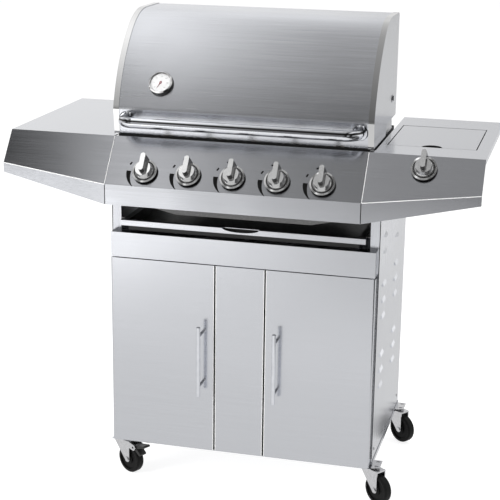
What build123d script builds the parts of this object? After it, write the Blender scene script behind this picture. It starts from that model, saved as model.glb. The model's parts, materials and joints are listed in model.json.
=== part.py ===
from build123d import *
import os
from math import cos, hypot, radians, sin, tan

# Gas barbecue grill: a cabinet cart on swivel castors, a firebox with tube burners under a
# curved hood, a slanted control panel and two side shelves, the right one with a side burner.
# The origin is on the floor under the middle of the overall depth. X points to the right as
# seen from the front, Y to the back and Z up. Sizes are in millimetres.

# Sheet thicknesses and clearances
SHEET = 1.2
FIREBOX_T = 1.5
SEAM = 0.5
RUN = 0.05
SEAT = 0.3

# Castors, from the floor up to the base panel
WHEEL_R = 37.5
WHEEL_W = 22.0
HUB_R = 13.0
TYRE_DEPTH = 9.0
TREAD_ROUND = 5.0
AXLE_R = 4.0
TRAIL = 38.0
CASTOR_TURN_LEFT = -28.0
CASTOR_TURN_RIGHT = -36.0
CASTOR_INSET = 12.0
CASTOR_FRONT_IN = 14.0
CASTOR_BACK_IN = 12.0
WHEEL_TOP_GAP = 9.0
WHEEL_SIDE_GAP = 1.5
FORK_T = 3.5
FORK_R = 18.0
LEG_T = 2.5
LEG_FRONT = -12.0
LEG_BACK = 46.0
AXLE_BOSS_R = 8.0
HEAD_R = 18.0
HEAD_T = 5.0
MOUNT_L = 44.0
MOUNT_W = 46.0
MOUNT_SHIFT = 10.0
MOUNT_T = 2.5
MOUNT_SLOT = 10.0
MOUNT_SLOT_W = 6.0
MOUNT_SLOT_IN = 9.0
KING_R = 5.0
LEVER_PIN_R = 3.0
LEVER_W = 21.0
CASTOR_H = 2 * WHEEL_R + WHEEL_TOP_GAP + FORK_T + SEAT + HEAD_T

# Heights of the cart, stacked from the base panel to the shelf tops
LIP_H = 11.0
DOOR_FOOT_GAP = 2.0
DOOR_H = 487.0
DOOR_GAP = 2.5
UPPER_H = 63.0
SLOT_H = 94.5
STRIP_H = 49.0
FACE_DROP = 102.0
DOOR_BOTTOM = CASTOR_H + SHEET + DOOR_FOOT_GAP
DOOR_TOP = DOOR_BOTTOM + DOOR_H
UPPER_BOTTOM = DOOR_TOP + DOOR_GAP
UPPER_TOP = UPPER_BOTTOM + UPPER_H
STRIP_BOTTOM = UPPER_TOP + SLOT_H
FOLD_Z = STRIP_BOTTOM + STRIP_H
TOP_Z = FOLD_Z + FACE_DROP
SIDE_TOP_DROP = 8.0
SIDE_TOP = STRIP_BOTTOM - SIDE_TOP_DROP
BACK_TOP_DROP = 2.0

# Depths, from the front face of the doors
DOOR_FACE_Y = -166.0
DOOR_T = 20.0
POST_GAP = 6.0
CART_D = 420.0
TOP_EDGE_OUT = 20.0
FACE_RUN = 80.0
PANEL_LIP = 4.0
SHELF_D = 468.0
BASE_FRONT_IN = 4.0
SIDE_FRONT_Y = DOOR_FACE_Y + DOOR_T + POST_GAP
SIDE_BACK_Y = SIDE_FRONT_Y + CART_D
BASE_FRONT_Y = DOOR_FACE_Y + BASE_FRONT_IN
TOP_EDGE_Y = DOOR_FACE_Y - TOP_EDGE_OUT
FOLD_Y = TOP_EDGE_Y - FACE_RUN
SHELF_BACK_Y = TOP_EDGE_Y + SHELF_D

# Widths, as half widths from the middle
CART_W = 676.0
POST_W = 24.0
BACK_FLANGE = 20.0
TOP_FLANGE = 23.0
DOOR_INSET = 5.0
CENTRE_W = 124.0
UPPER_INSET = 7.0
PANEL_INSET = 4.0
HOOD_LAP = 5.0
SHELF_W = 267.5
SIDE_X = CART_W / 2 - SHEET - SEAT
SLOT_X = SIDE_X - POST_W
FIREBOX_X = SLOT_X - SEAM
PANEL_X = FIREBOX_X - PANEL_INSET
HOOD_X = FIREBOX_X + HOOD_LAP
DOOR_X = CART_W / 2 - DOOR_INSET
UPPER_X = CART_W / 2 - UPPER_INSET
SHELF_IN_X = PANEL_X + SEAM
SHELF_X = SHELF_IN_X + SHELF_W

# Doors and their handles
DOOR_EDGE_R = 6.0
DOOR_PIN_R = 3.0
DOOR_PIN_IN_X = 8.0
DOOR_PIN_IN_Y = 9.0
BAR_R = 5.0
BAR_L = 182.0
BAR_OUT = 32.0
BAR_POST_R = 4.0
BAR_POST_PITCH = 132.0
BAR_IN = 31.0
BAR_DROP = 242.0

# Louvres of the side panels: two columns, each with two groups of rows
LOUVRE_L = 40.0
LOUVRE_H = 9.0
LOUVRE_OUT = 4.0
LOUVRE_PITCH = 41.5
LOUVRE_ROWS = 3
LOUVRE_COLUMNS_IN = (78.0, 268.0)
LOUVRE_GROUPS_UP = (222.0, 404.0)

# Vent slots of the back panel
VENT_L = 90.0
VENT_H = 9.0
VENT_PITCH_X = 180.0
VENT_PITCH_Z = 40.0

# Shelves
FASCIA_LAP = 30.0
END_SETBACK = 23.5
END_RISE = 56.0
HEM_H = 12.0
HOOD_SIDE_GAP = 3.5
SKIRT_IN = 14.0
SKIRT_FOOT = 12.0
HOOD_NOTCH_IN = 10.0

# Side burner in the right shelf
LID_X_IN = 26.5
LID_OPEN_W = 210.5
LID_OPEN_D = 257.0
LID_OPEN_IN = 97.0
LID_SIDE_GAP = 2.5
LID_FRONT_GAP = 1.5
LID_BACK_GAP = 4.0
LID_H = 12.0
LID_PIN_R = 3.0
LID_PIN_IN = 4.0
LID_PIN_DOWN = 6.0
NOTCH_R = 24.0
BOWL_DEPTH = 60.0
BOWL_FLANGE = 6.0
BURNER_HEAD_R = 42.0
BURNER_HEAD_H = 22.0
SUPPORT_R = 88.0
SUPPORT_T = 6.0
SUPPORT_H = 42.0

# Firebox and what it holds
FIREBOX_IN = 36.0
FIREBOX_D = 314.0
TRAY_TO_FIREBOX = 20.0
FIREBOX_TOP_GAP = 1.0
LEDGE_W = 12.0
LEDGE_OUT = 7.5
GRATE_DOWN = 36.0
TAMER_CLEAR = 2.5
BOTTOM_FLANGE = 34.0
FUNNEL_X = 168.0
FUNNEL_RISE = 32.0
GRATE_T = 12.0
GRATE_BAR = 6.0
GRATE_FRAME = 9.0
GRATE_BARS = 13
GRATE_GAP = 2.0
BURNER_R = 12.5
BURNER_T = 1.0
BURNER_OUT = 30.0
TAMER_HALF_W = 34.0
TAMER_RISE = 26.0
RACK_D = 120.0
RACK_T = 5.0
RACK_BARS = 14
RACK_H = 118.0
RACK_BACK_IN = 70.0
RACK_LEG = 6.0
FIREBOX_FRONT_Y = TOP_EDGE_Y + FIREBOX_IN
FIREBOX_BACK_Y = FIREBOX_FRONT_Y + FIREBOX_D
FIREBOX_TOP = TOP_Z - FIREBOX_TOP_GAP

# Drip tray and its runners
TRAY_CLEAR = 5.5
TRAY_H = 26.0
TRAY_D = 330.0
TRAY_LIP_H = 13.0
TRAY_LIP_GAP = 7.0
TRAY_LIP_T = 12.0
TRAY_IN = 24.0
TRAY_FLANGE = 14.0
TRAY_NOTCH_W = 91.0
TRAY_NOTCH_H = 9.0
TRAY_LIP_RETURN = 8.0
RUNNER_LEG = 18.0
RUNNER_LAP = 9.0
TRAY_BOTTOM = UPPER_TOP + TRAY_CLEAR
TRAY_TOP = TRAY_BOTTOM + TRAY_H
FIREBOX_BOTTOM = TRAY_TOP + TRAY_TO_FIREBOX

# Hood: tilted lower band, two tangent arcs and a flat top
HOOD_T = 1.0
RIM_T = 1.5
RIM_W = 14.0
END_T = 2.0
HOOD_GAP = 3.0
HOOD_FRONT_IN = 17.0
BAND_H = 63.0
BAND_LEAN = 7.0
BAND_FLANGE = 20.0
KNEE_R = 25.0
ARC1_R = 350.0
ARC1_START = 14.0
ARC1_END = 50.0
ARC2_R = 156.0
TOP_FLAT = 105.0
BACK_ROUND = 10.0
STEP_IN = 163.0
STEP_RUN = 15.0
STEP_RISE = 28.0
HINGE_UP = 78.0
HINGE_BACK = 75.0
HINGE_PIN_R = 4.0
HINGE_HEAD_R = 6.5
HINGE_HEAD_T = 2.5
BACK_WALL_UP = 35.0
EAR_FRONT = 83.0
EAR_BACK = 35.0
EAR_TOP_R = 15.0
PLATE_L = 34.0
PLATE_W = 20.0
PLATE_T = 1.0
HOOD_BOTTOM = TOP_Z + HOOD_GAP
HINGE_Y = FIREBOX_BACK_Y - HINGE_BACK
HINGE_Z = HOOD_BOTTOM + HINGE_UP

# Hood handle and thermometer
HANDLE_R = 12.7
HANDLE_X = 284.0
HANDLE_OUT = 48.0
HANDLE_UP = 37.0
HANDLE_BEND = 30.0
FLANGE_R = 19.0
FLANGE_T = 4.0
GAUGE_X = -203.0
GAUGE_TILT = 24.4
GAUGE_LEAN = 14.0
GAUGE_R = 29.5
GAUGE_H = 9.2
DIAL_R = 25.0
DIAL_DOWN = 4.2
LENS_R = 26.4
LENS_T = 1.6
PROBE_R = 5.0
PROBE_L = 50.0
NEEDLE_L = 17.5
NEEDLE_TAIL = 4.0
NEEDLE_W = 2.4
NEEDLE_T = 0.8
NEEDLE_HUB_R = 2.6
NEEDLE_PIN_R = 1.0
NEEDLE_REST = 157.0

# Knobs, valves and gas pipes on the slanted face
KNOB_COUNT = 5
KNOB_PITCH = 107.0
KNOB_DOWN = 91.0
SIDE_KNOB_X = 440.0
SIDE_KNOB_DOWN = 35.0
KNOB_GAP = 5.0
SKIRT_R = 30.0
SKIRT_T = 3.0
BODY_R = 22.5
BODY_TOP_R = 18.5
BODY_H = 19.0
GRIP_W = 15.0
GRIP_UP = 34.0
GRIP_DOWN = 14.0
GRIP_H = 35.0
SPINDLE_R = 4.0
SPINDLE_HOLE_GAP = 3.0
SPINDLE_IN = 36.0
SPINDLE_OUT = 28.0
VALVE_R = 10.0
VALVE_START = 12.0
PIPE_IN = 62.0
PIPE_R = 9.0
OUTLET_IN = 35.0
OUTLET_R = 4.0
OUTLET_LAP = 6.0
VALVE_BORE_SPARE = 5.0
FEED_R = 5.0
INLET_R = 6.58
INLET_L = 16.0
PIPE_OVERHANG = 22.0
BRACKET_T = 3.0
BRACKET_W = 24.0

os.makedirs("parts", exist_ok=True)

FACE_L = hypot(FACE_RUN, FACE_DROP)
FACE_DOWN = Vector(0, -FACE_RUN / FACE_L, -FACE_DROP / FACE_L)
FACE_OUT = Vector(0, -FACE_DROP / FACE_L, FACE_RUN / FACE_L)
KNOB_XS = [(i - (KNOB_COUNT - 1) / 2) * KNOB_PITCH for i in range(KNOB_COUNT)]


def save(builder, name):
    """Label a finished piece and write it as one STEP file."""
    builder.part.label = name
    export_step(builder.part, f"parts/{name}.step")


def folded(points, thickness):
    """Outline of a folded sheet: a line, and the same line moved one thickness to its left."""
    normals = []
    for (x0, y0), (x1, y1) in zip(points, points[1:]):
        run = hypot(x1 - x0, y1 - y0)
        normals.append(((y0 - y1) / run, (x1 - x0) / run))
    moved = []
    for i, (x, y) in enumerate(points):
        ax, ay = normals[max(i - 1, 0)]
        bx, by = normals[min(i, len(normals) - 1)]
        share = thickness / (1 + ax * bx + ay * by)
        moved.append((x + share * (ax + bx), y + share * (ay + by)))
    return [*points, *reversed(moved)]


def face_plane(x, down):
    """Plane on the slanted front, a distance down from its top edge, with Z pointing outwards."""
    return Plane(Vector(x, TOP_EDGE_Y, TOP_Z) + FACE_DOWN * down, (1, 0, 0), FACE_OUT)


def section_of(plane):
    """Plane through a plane's own Z axis, with X kept and Y along that axis."""
    return Plane(plane.origin, plane.x_dir, -plane.y_dir)


# Castor places: front left, front right, back left, back right
CASTOR_X = CART_W / 2 - CASTOR_INSET
CASTOR_FRONT_Y = SIDE_FRONT_Y + CASTOR_FRONT_IN
CASTOR_BACK_Y = SIDE_BACK_Y - CASTOR_BACK_IN
CASTORS = {
    "front_left": (-CASTOR_X, CASTOR_FRONT_Y),
    "front_right": (CASTOR_X, CASTOR_FRONT_Y),
    "back_left": (-CASTOR_X, CASTOR_BACK_Y),
    "back_right": (CASTOR_X, CASTOR_BACK_Y),
}
DOOR_PIN_X = DOOR_X - DOOR_PIN_IN_X
DOOR_PIN_Y = DOOR_FACE_Y + DOOR_PIN_IN_Y

# Base panel: flat sheet with upturned lips at the sides and back
with BuildPart() as base_panel:
    with BuildSketch(Plane.XY.offset(CASTOR_H)):
        with Locations((0, (BASE_FRONT_Y + SIDE_BACK_Y) / 2)):
            Rectangle(CART_W, SIDE_BACK_Y - BASE_FRONT_Y)
        with Locations((-DOOR_PIN_X, DOOR_PIN_Y), (DOOR_PIN_X, DOOR_PIN_Y)):
            Circle(DOOR_PIN_R + RUN, mode=Mode.SUBTRACT)
    extrude(amount=SHEET)
    with BuildSketch(Plane.XY.offset(CASTOR_H)):
        with Locations((0, (SIDE_FRONT_Y + SIDE_BACK_Y) / 2)):
            Rectangle(CART_W, CART_D)
        with Locations((0, (SIDE_FRONT_Y + SIDE_BACK_Y) / 2 - SHEET)):
            Rectangle(CART_W - 2 * SHEET, CART_D, mode=Mode.SUBTRACT)
    extrude(amount=LIP_H)
save(base_panel, "base_panel")

PANEL_BACK_Y = SIDE_BACK_Y - SHEET - SEAT
PANEL_BOTTOM = CASTOR_H + SHEET


def louvre_centres():
    """Depth and lower edge height of each louvre of a side panel."""
    rows = [(i - (LOUVRE_ROWS - 1) / 2) * LOUVRE_PITCH for i in range(LOUVRE_ROWS)]
    for depth in LOUVRE_COLUMNS_IN:
        for group in LOUVRE_GROUPS_UP:
            for row in rows:
                yield SIDE_FRONT_Y + depth, DOOR_BOTTOM + group + row


def side_panel():
    """Right side panel: a folded channel with pressed louvres that open downwards."""
    with BuildPart() as panel:
        with BuildSketch(Plane.XY.offset(PANEL_BOTTOM)):
            outline = [
                (SLOT_X, SIDE_FRONT_Y),
                (SIDE_X, SIDE_FRONT_Y),
                (SIDE_X, PANEL_BACK_Y),
                (SIDE_X - BACK_FLANGE, PANEL_BACK_Y),
            ]
            Polygon(*folded(outline, SHEET), align=None)
        extrude(amount=SIDE_TOP - PANEL_BOTTOM)
        with BuildSketch(Plane.XY.offset(SIDE_TOP)):
            with Locations((SIDE_X - TOP_FLANGE / 2, (SIDE_FRONT_Y + PANEL_BACK_Y) / 2)):
                Rectangle(TOP_FLANGE, PANEL_BACK_Y - SIDE_FRONT_Y)
        extrude(amount=-SHEET)
        for y, z in louvre_centres():
            with BuildSketch(Plane.XZ.offset(-y)):
                Polygon(
                    (SIDE_X, z),
                    (SIDE_X + LOUVRE_OUT, z),
                    (SIDE_X, z + LOUVRE_H),
                    align=None,
                )
            extrude(amount=LOUVRE_L / 2, both=True)
            with BuildSketch(Plane.XZ.offset(-y)):
                Polygon(
                    (SIDE_X - SHEET, z),
                    (SIDE_X + LOUVRE_OUT - SHEET, z),
                    (SIDE_X, z + LOUVRE_H - 2 * SHEET),
                    (SIDE_X - SHEET, z + LOUVRE_H - 2 * SHEET),
                    align=None,
                )
            extrude(amount=LOUVRE_L / 2 - SHEET, both=True, mode=Mode.SUBTRACT)
    return panel.part


with BuildPart() as right_side_panel:
    add(side_panel())
save(right_side_panel, "right_side_panel")

with BuildPart() as left_side_panel:
    mirror(side_panel(), about=Plane.YZ)
save(left_side_panel, "left_side_panel")

# Back panel between the rear flanges, with two rows of vent slots
BACK_TOP = SIDE_TOP - BACK_TOP_DROP
BACK_X = SIDE_X - SHEET - SEAM
with BuildPart() as back_panel:
    with BuildSketch(Plane.XZ.offset(-(PANEL_BACK_Y - SHEET))):
        with Locations((0, (PANEL_BOTTOM + BACK_TOP) / 2)):
            Rectangle(2 * BACK_X, BACK_TOP - PANEL_BOTTOM)
            with GridLocations(VENT_PITCH_X, VENT_PITCH_Z, 3, 4):
                SlotOverall(VENT_L, VENT_H, mode=Mode.SUBTRACT)
    extrude(amount=SHEET)
save(back_panel, "back_panel")

# Upper front panel: an open backed box above the doors
with BuildPart() as upper_front_panel:
    with BuildSketch(Plane.XZ.offset(-SIDE_FRONT_Y)):
        with Locations((0, (UPPER_BOTTOM + UPPER_TOP) / 2)):
            Rectangle(2 * UPPER_X, UPPER_H)
    extrude(amount=SIDE_FRONT_Y - DOOR_FACE_Y)
    offset(amount=-SHEET, openings=upper_front_panel.faces().sort_by(Axis.Y)[-1])
    with BuildSketch(Plane.XY.offset(UPPER_BOTTOM)):
        with Locations((-DOOR_PIN_X, DOOR_PIN_Y), (DOOR_PIN_X, DOOR_PIN_Y)):
            Circle(DOOR_PIN_R + RUN)
    extrude(amount=SHEET, mode=Mode.SUBTRACT)
save(upper_front_panel, "upper_front_panel")

# Fixed centre panel with its spine, and a catch block on each side for the doors
CATCH_H = 40.0
CATCH_W = 14.0
with BuildPart() as centre_panel:
    with BuildSketch(Plane.XZ.offset(-(DOOR_FACE_Y + DOOR_T))):
        with Locations((0, (DOOR_BOTTOM + DOOR_TOP) / 2)):
            Rectangle(CENTRE_W, DOOR_H)
    extrude(amount=DOOR_T)
    offset(amount=-SHEET, openings=centre_panel.faces().sort_by(Axis.Y)[-1])
    with BuildSketch(Plane.XZ.offset(-(DOOR_FACE_Y + DOOR_T))):
        with Locations((0, (PANEL_BOTTOM + UPPER_BOTTOM) / 2)):
            Rectangle(CENTRE_W - 2 * SHEET, UPPER_BOTTOM - PANEL_BOTTOM)
    extrude(amount=SHEET)
    with BuildSketch(Plane.XZ.offset(-(DOOR_FACE_Y + DOOR_T + SEAT))):
        with Locations((0, (DOOR_BOTTOM + DOOR_TOP) / 2)):
            Rectangle(CENTRE_W + 2 * CATCH_W, CATCH_H)
    extrude(amount=-POST_GAP)
    with BuildSketch(Plane.XZ.offset(-(DOOR_FACE_Y + DOOR_T))):
        with Locations((0, (DOOR_BOTTOM + DOOR_TOP) / 2)):
            Rectangle(CENTRE_W / 2, CATCH_H)
    extrude(amount=-POST_GAP)
save(centre_panel, "centre_panel")

BAR_Z = DOOR_TOP - BAR_DROP


def door():
    """Right door: an open backed pan with a rounded outer edge and a pin at top and bottom."""
    inner = CENTRE_W / 2 + DOOR_GAP
    with BuildPart() as pan:
        with BuildSketch(Plane.XY.offset(DOOR_BOTTOM)):
            with Locations(((inner + DOOR_X) / 2, DOOR_FACE_Y + DOOR_T / 2)):
                Rectangle(DOOR_X - inner, DOOR_T)
        extrude(amount=DOOR_H)
        front = pan.faces().sort_by(Axis.Y)[0]
        fillet(front.edges().filter_by(Axis.Z).sort_by(Axis.X)[-1], DOOR_EDGE_R)
        offset(amount=-SHEET, openings=pan.faces().sort_by(Axis.Y)[-1])
        with BuildSketch(Plane.XY.offset(CASTOR_H - SEAT)):
            with Locations((DOOR_PIN_X, DOOR_PIN_Y)):
                Circle(DOOR_PIN_R)
        extrude(amount=DOOR_BOTTOM + 2 * SHEET - CASTOR_H)
        with BuildSketch(Plane.XY.offset(DOOR_TOP - SHEET)):
            with Locations((DOOR_PIN_X, DOOR_PIN_Y)):
                Circle(DOOR_PIN_R)
        extrude(amount=DOOR_GAP + 2 * SHEET + SEAT)
    return pan.part


def door_handle():
    """Right door handle: a round bar on two posts that stand on the door face."""
    x = CENTRE_W / 2 + DOOR_GAP + BAR_IN
    with BuildPart() as handle:
        with BuildSketch(Plane.XY.offset(BAR_Z - BAR_L / 2)):
            with Locations((x, DOOR_FACE_Y - BAR_OUT)):
                Circle(BAR_R)
        extrude(amount=BAR_L)
        chamfer(handle.edges().filter_by(GeomType.CIRCLE), BAR_R / 6)
        with BuildSketch(Plane.XZ.offset(-DOOR_FACE_Y)):
            with Locations((x, BAR_Z - BAR_POST_PITCH / 2), (x, BAR_Z + BAR_POST_PITCH / 2)):
                Circle(BAR_POST_R)
        extrude(amount=BAR_OUT)
    return handle.part


with BuildPart() as right_door:
    add(door())
save(right_door, "right_door")

with BuildPart() as left_door:
    mirror(door(), about=Plane.YZ)
save(left_door, "left_door")

with BuildPart() as right_door_handle:
    add(door_handle())
save(right_door_handle, "right_door_handle")

with BuildPart() as left_door_handle:
    mirror(door_handle(), about=Plane.YZ)
save(left_door_handle, "left_door_handle")

# Drip tray: a shallow pan with side flanges
TRAY_X = SLOT_X - TRAY_IN
TRAY_LIP_X = SLOT_X - TRAY_LIP_GAP
TRAY_FRONT_Y = DOOR_FACE_Y + TRAY_LIP_T
with BuildPart() as drip_tray:
    with BuildSketch(Plane.XY.offset(TRAY_BOTTOM)):
        with Locations((0, TRAY_FRONT_Y + TRAY_D / 2)):
            Rectangle(2 * TRAY_X, TRAY_D)
    extrude(amount=TRAY_H)
    offset(amount=-SHEET, openings=drip_tray.faces().sort_by(Axis.Z)[-1])
    with BuildSketch(Plane.XY.offset(TRAY_TOP)):
        with Locations((0, TRAY_FRONT_Y + TRAY_D / 2)):
            Rectangle(2 * (TRAY_X + TRAY_FLANGE), TRAY_D)
            Rectangle(2 * (TRAY_X - SHEET), TRAY_D, mode=Mode.SUBTRACT)
    extrude(amount=-SHEET)
save(drip_tray, "drip_tray")

# Front lip of the drip tray: a folded channel with a finger notch in its upper front edge
with BuildPart() as drip_tray_lip:
    lip_y = TRAY_FRONT_Y - TRAY_LIP_T
    with BuildSketch(Plane.YZ):
        channel = [
            (TRAY_FRONT_Y, TRAY_TOP),
            (lip_y, TRAY_TOP),
            (lip_y, TRAY_TOP - TRAY_LIP_H),
            (lip_y + TRAY_LIP_RETURN, TRAY_TOP - TRAY_LIP_H),
        ]
        Polygon(*folded(channel, SHEET), align=None)
    extrude(amount=TRAY_LIP_X, both=True)
    with BuildSketch(Plane.XZ.offset(-(lip_y + TRAY_LIP_RETURN))):
        with Locations((0, TRAY_TOP)):
            Ellipse(TRAY_NOTCH_W / 2, TRAY_NOTCH_H)
    extrude(amount=2 * TRAY_LIP_RETURN, mode=Mode.SUBTRACT)
save(drip_tray_lip, "drip_tray_lip")

# Runners: angles on the side panels that carry the tray's flanges
RUNNER_TOP = TRAY_TOP - SHEET - SEAT
RUNNER_X = TRAY_X + TRAY_FLANGE - RUNNER_LAP
with BuildPart() as tray_runners:
    with BuildSketch(Plane.XZ.offset(-(SIDE_FRONT_Y + SHEET))):
        section = [
            (RUNNER_X, RUNNER_TOP),
            (SIDE_X - SHEET, RUNNER_TOP),
            (SIDE_X - SHEET, RUNNER_TOP - RUNNER_LEG),
        ]
        Polygon(*reversed(folded(section[::-1], SHEET)), align=None)
    extrude(amount=-(CART_D - BACK_FLANGE))
    mirror(about=Plane.YZ)
save(tray_runners, "tray_runners")

# Control panel: top flange, slanted face, vertical strip and bottom return
CONTROL_PLANES = [face_plane(x, KNOB_DOWN) for x in KNOB_XS]
SIDE_PLANE = face_plane(SIDE_KNOB_X, SIDE_KNOB_DOWN)
STRIP_RETURN = 14.0
with BuildPart() as control_panel:
    with BuildSketch(Plane.YZ):
        outline = [
            (TOP_EDGE_Y + PANEL_LIP, TOP_Z),
            (TOP_EDGE_Y, TOP_Z),
            (FOLD_Y, FOLD_Z),
            (FOLD_Y, STRIP_BOTTOM),
            (FOLD_Y + STRIP_RETURN, STRIP_BOTTOM),
        ]
        Polygon(*folded(outline, SHEET), align=None)
    extrude(amount=PANEL_X, both=True)
    with BuildSketch(*CONTROL_PLANES):
        Circle(SPINDLE_R + SPINDLE_HOLE_GAP)
    extrude(amount=2 * SHEET, both=True, mode=Mode.SUBTRACT)
save(control_panel, "control_panel")

SKIRT_X = HOOD_X + HOOD_SIDE_GAP
LID_X0 = SHELF_IN_X + LID_X_IN
LID_X1 = LID_X0 + LID_OPEN_W
LID_Y0 = TOP_EDGE_Y + LID_OPEN_IN
LID_Y1 = LID_Y0 + LID_OPEN_D
LID_MID = ((LID_X0 + LID_X1) / 2, (LID_Y0 + LID_Y1) / 2)


def shelf():
    """Right shelf: top sheet with hems, slanted front, tapering strip and a skirt to the cart."""
    lap_y = TOP_EDGE_Y + FASCIA_LAP
    with BuildPart() as sheet:
        with BuildSketch(Plane.YZ.offset(SHELF_IN_X)):
            Polygon(
                (lap_y, TOP_Z),
                (TOP_EDGE_Y, TOP_Z),
                (FOLD_Y, FOLD_Z),
                (FOLD_Y, STRIP_BOTTOM),
                (lap_y, STRIP_BOTTOM),
                align=None,
            )
        extrude(amount=SHELF_W)
        with BuildSketch(Plane.XY.offset(STRIP_BOTTOM)):
            Polygon(
                (SHELF_IN_X, FOLD_Y),
                (SHELF_X, FOLD_Y),
                (SHELF_X, FOLD_Y + END_SETBACK),
                align=None,
            )
        extrude(amount=TOP_Z - STRIP_BOTTOM, mode=Mode.SUBTRACT)
        with BuildSketch(Plane.XZ.offset(-lap_y)):
            Polygon(
                (SHELF_IN_X, STRIP_BOTTOM),
                (SHELF_X, STRIP_BOTTOM),
                (SHELF_X, STRIP_BOTTOM + END_RISE),
                align=None,
            )
        extrude(amount=lap_y - FOLD_Y, mode=Mode.SUBTRACT)
        ends = sheet.faces().filter_by(Axis.X)
        back = sheet.faces().filter_by(Axis.Y).sort_by(Axis.Y)[-1]
        bottom = sheet.faces().sort_by(Axis.Z)[0]
        offset(amount=-SHEET, openings=[*ends, back, bottom])
        with BuildSketch(Plane.XY.offset(TOP_Z)):
            with Locations(((SHELF_IN_X + SHELF_X) / 2, (lap_y + SHELF_BACK_Y) / 2)):
                Rectangle(SHELF_W, SHELF_BACK_Y - lap_y)
        extrude(amount=-SHEET)
        with BuildSketch(Plane.XY.offset(TOP_Z)):
            hem = [(SHELF_X, TOP_EDGE_Y), (SHELF_X, SHELF_BACK_Y), (SHELF_IN_X, SHELF_BACK_Y)]
            Polygon(*folded(hem, SHEET), align=None)
        extrude(amount=-HEM_H)
        with BuildSketch(Plane.XY.offset(TOP_Z)):
            notch_y = FIREBOX_FRONT_Y - HOOD_NOTCH_IN
            with Locations(((SHELF_IN_X + SKIRT_X) / 2, (notch_y + SHELF_BACK_Y) / 2)):
                Rectangle(SKIRT_X - SHELF_IN_X, SHELF_BACK_Y - notch_y)
        extrude(amount=-HEM_H, mode=Mode.SUBTRACT)
        with BuildSketch(Plane.XZ.offset(-(SIDE_BACK_Y - SKIRT_IN))):
            skirt = [
                (SKIRT_X, TOP_Z),
                (SKIRT_X, SIDE_TOP),
                (SKIRT_X + SKIRT_FOOT, SIDE_TOP),
            ]
            Polygon(*folded(skirt, SHEET), align=None)
        extrude(amount=CART_D - 2 * SKIRT_IN)
    return sheet.part


with BuildPart() as left_shelf:
    mirror(shelf(), about=Plane.YZ)
save(left_shelf, "left_shelf")

with BuildPart() as right_shelf:
    add(shelf())
    with BuildSketch(Plane.XY.offset(TOP_Z)):
        with Locations(LID_MID):
            Rectangle(LID_OPEN_W, LID_OPEN_D)
    extrude(amount=-SHEET, mode=Mode.SUBTRACT)
    with BuildSketch(SIDE_PLANE):
        Circle(SPINDLE_R + SPINDLE_HOLE_GAP)
    extrude(amount=2 * SHEET, both=True, mode=Mode.SUBTRACT)
save(right_shelf, "right_shelf")

# Side burner bowl: hangs under the shelf by its flange, its side walls carry the lid's pins
LID_AXIS_Y = LID_Y1 - LID_BACK_GAP - LID_PIN_IN
LID_AXIS_Z = TOP_Z - LID_PIN_DOWN
BOWL_TOP = TOP_Z - SHEET
BOWL_BOTTOM = BOWL_TOP - BOWL_DEPTH
SIDE_OUTLET = SIDE_PLANE.origin - FACE_OUT * OUTLET_IN
SIDE_TUBE_R = 9.0
with BuildPart() as side_burner_bowl:
    with BuildSketch(Plane.XY.offset(BOWL_BOTTOM)):
        with Locations(LID_MID):
            Rectangle(LID_OPEN_W + 2 * SHEET, LID_OPEN_D + 2 * SHEET)
    extrude(amount=BOWL_DEPTH)
    offset(amount=-SHEET, openings=side_burner_bowl.faces().sort_by(Axis.Z)[-1])
    with BuildSketch(Plane.XY.offset(BOWL_TOP)):
        with Locations(LID_MID):
            Rectangle(LID_OPEN_W + 2 * BOWL_FLANGE, LID_OPEN_D + 2 * BOWL_FLANGE)
            Rectangle(LID_OPEN_W, LID_OPEN_D, mode=Mode.SUBTRACT)
    extrude(amount=-SHEET)
    with BuildSketch(Plane.YZ.offset(LID_X0 - 2 * SHEET)):
        with Locations((LID_AXIS_Y, LID_AXIS_Z)):
            Circle(LID_PIN_R + RUN)
    extrude(amount=LID_OPEN_W + 4 * SHEET, mode=Mode.SUBTRACT)
    with BuildSketch(Plane.XZ.offset(-(LID_Y0 + SHEET))):
        with Locations((SIDE_OUTLET.X, SIDE_OUTLET.Z)):
            Circle(SIDE_TUBE_R + SEAT)
    extrude(amount=3 * SHEET, mode=Mode.SUBTRACT)
save(side_burner_bowl, "side_burner_bowl")

# Side burner: a round head on the bowl's floor with a mixing tube out of the front wall
HEAD_POCKET_R = 30.0
BOWL_FLOOR = BOWL_BOTTOM + SHEET
with BuildPart() as side_burner:
    with BuildSketch(Plane.XY.offset(BOWL_FLOOR)):
        with Locations((SIDE_OUTLET.X, LID_MID[1])):
            Circle(BURNER_HEAD_R)
    extrude(amount=BURNER_HEAD_H)
    chamfer(side_burner.faces().sort_by(Axis.Z)[-1].edges(), BURNER_HEAD_H / 4)
    with BuildSketch(Plane.XY.offset(BOWL_FLOOR + BURNER_HEAD_H)):
        with Locations((SIDE_OUTLET.X, LID_MID[1])):
            Circle(HEAD_POCKET_R)
    extrude(amount=-BURNER_HEAD_H / 4, mode=Mode.SUBTRACT)
    with BuildSketch(Plane.XZ.offset(-LID_MID[1])):
        with Locations((SIDE_OUTLET.X, SIDE_OUTLET.Z)):
            Circle(SIDE_TUBE_R)
    extrude(amount=LID_MID[1] - LID_Y0 + BURNER_OUT)
    with BuildSketch(Plane.XZ.offset(-(LID_Y0 - BURNER_OUT))):
        with Locations((SIDE_OUTLET.X, SIDE_OUTLET.Z)):
            Circle(SIDE_TUBE_R - BURNER_T)
    extrude(amount=-(LID_MID[1] - LID_Y0), mode=Mode.SUBTRACT)
save(side_burner, "side_burner")

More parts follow.
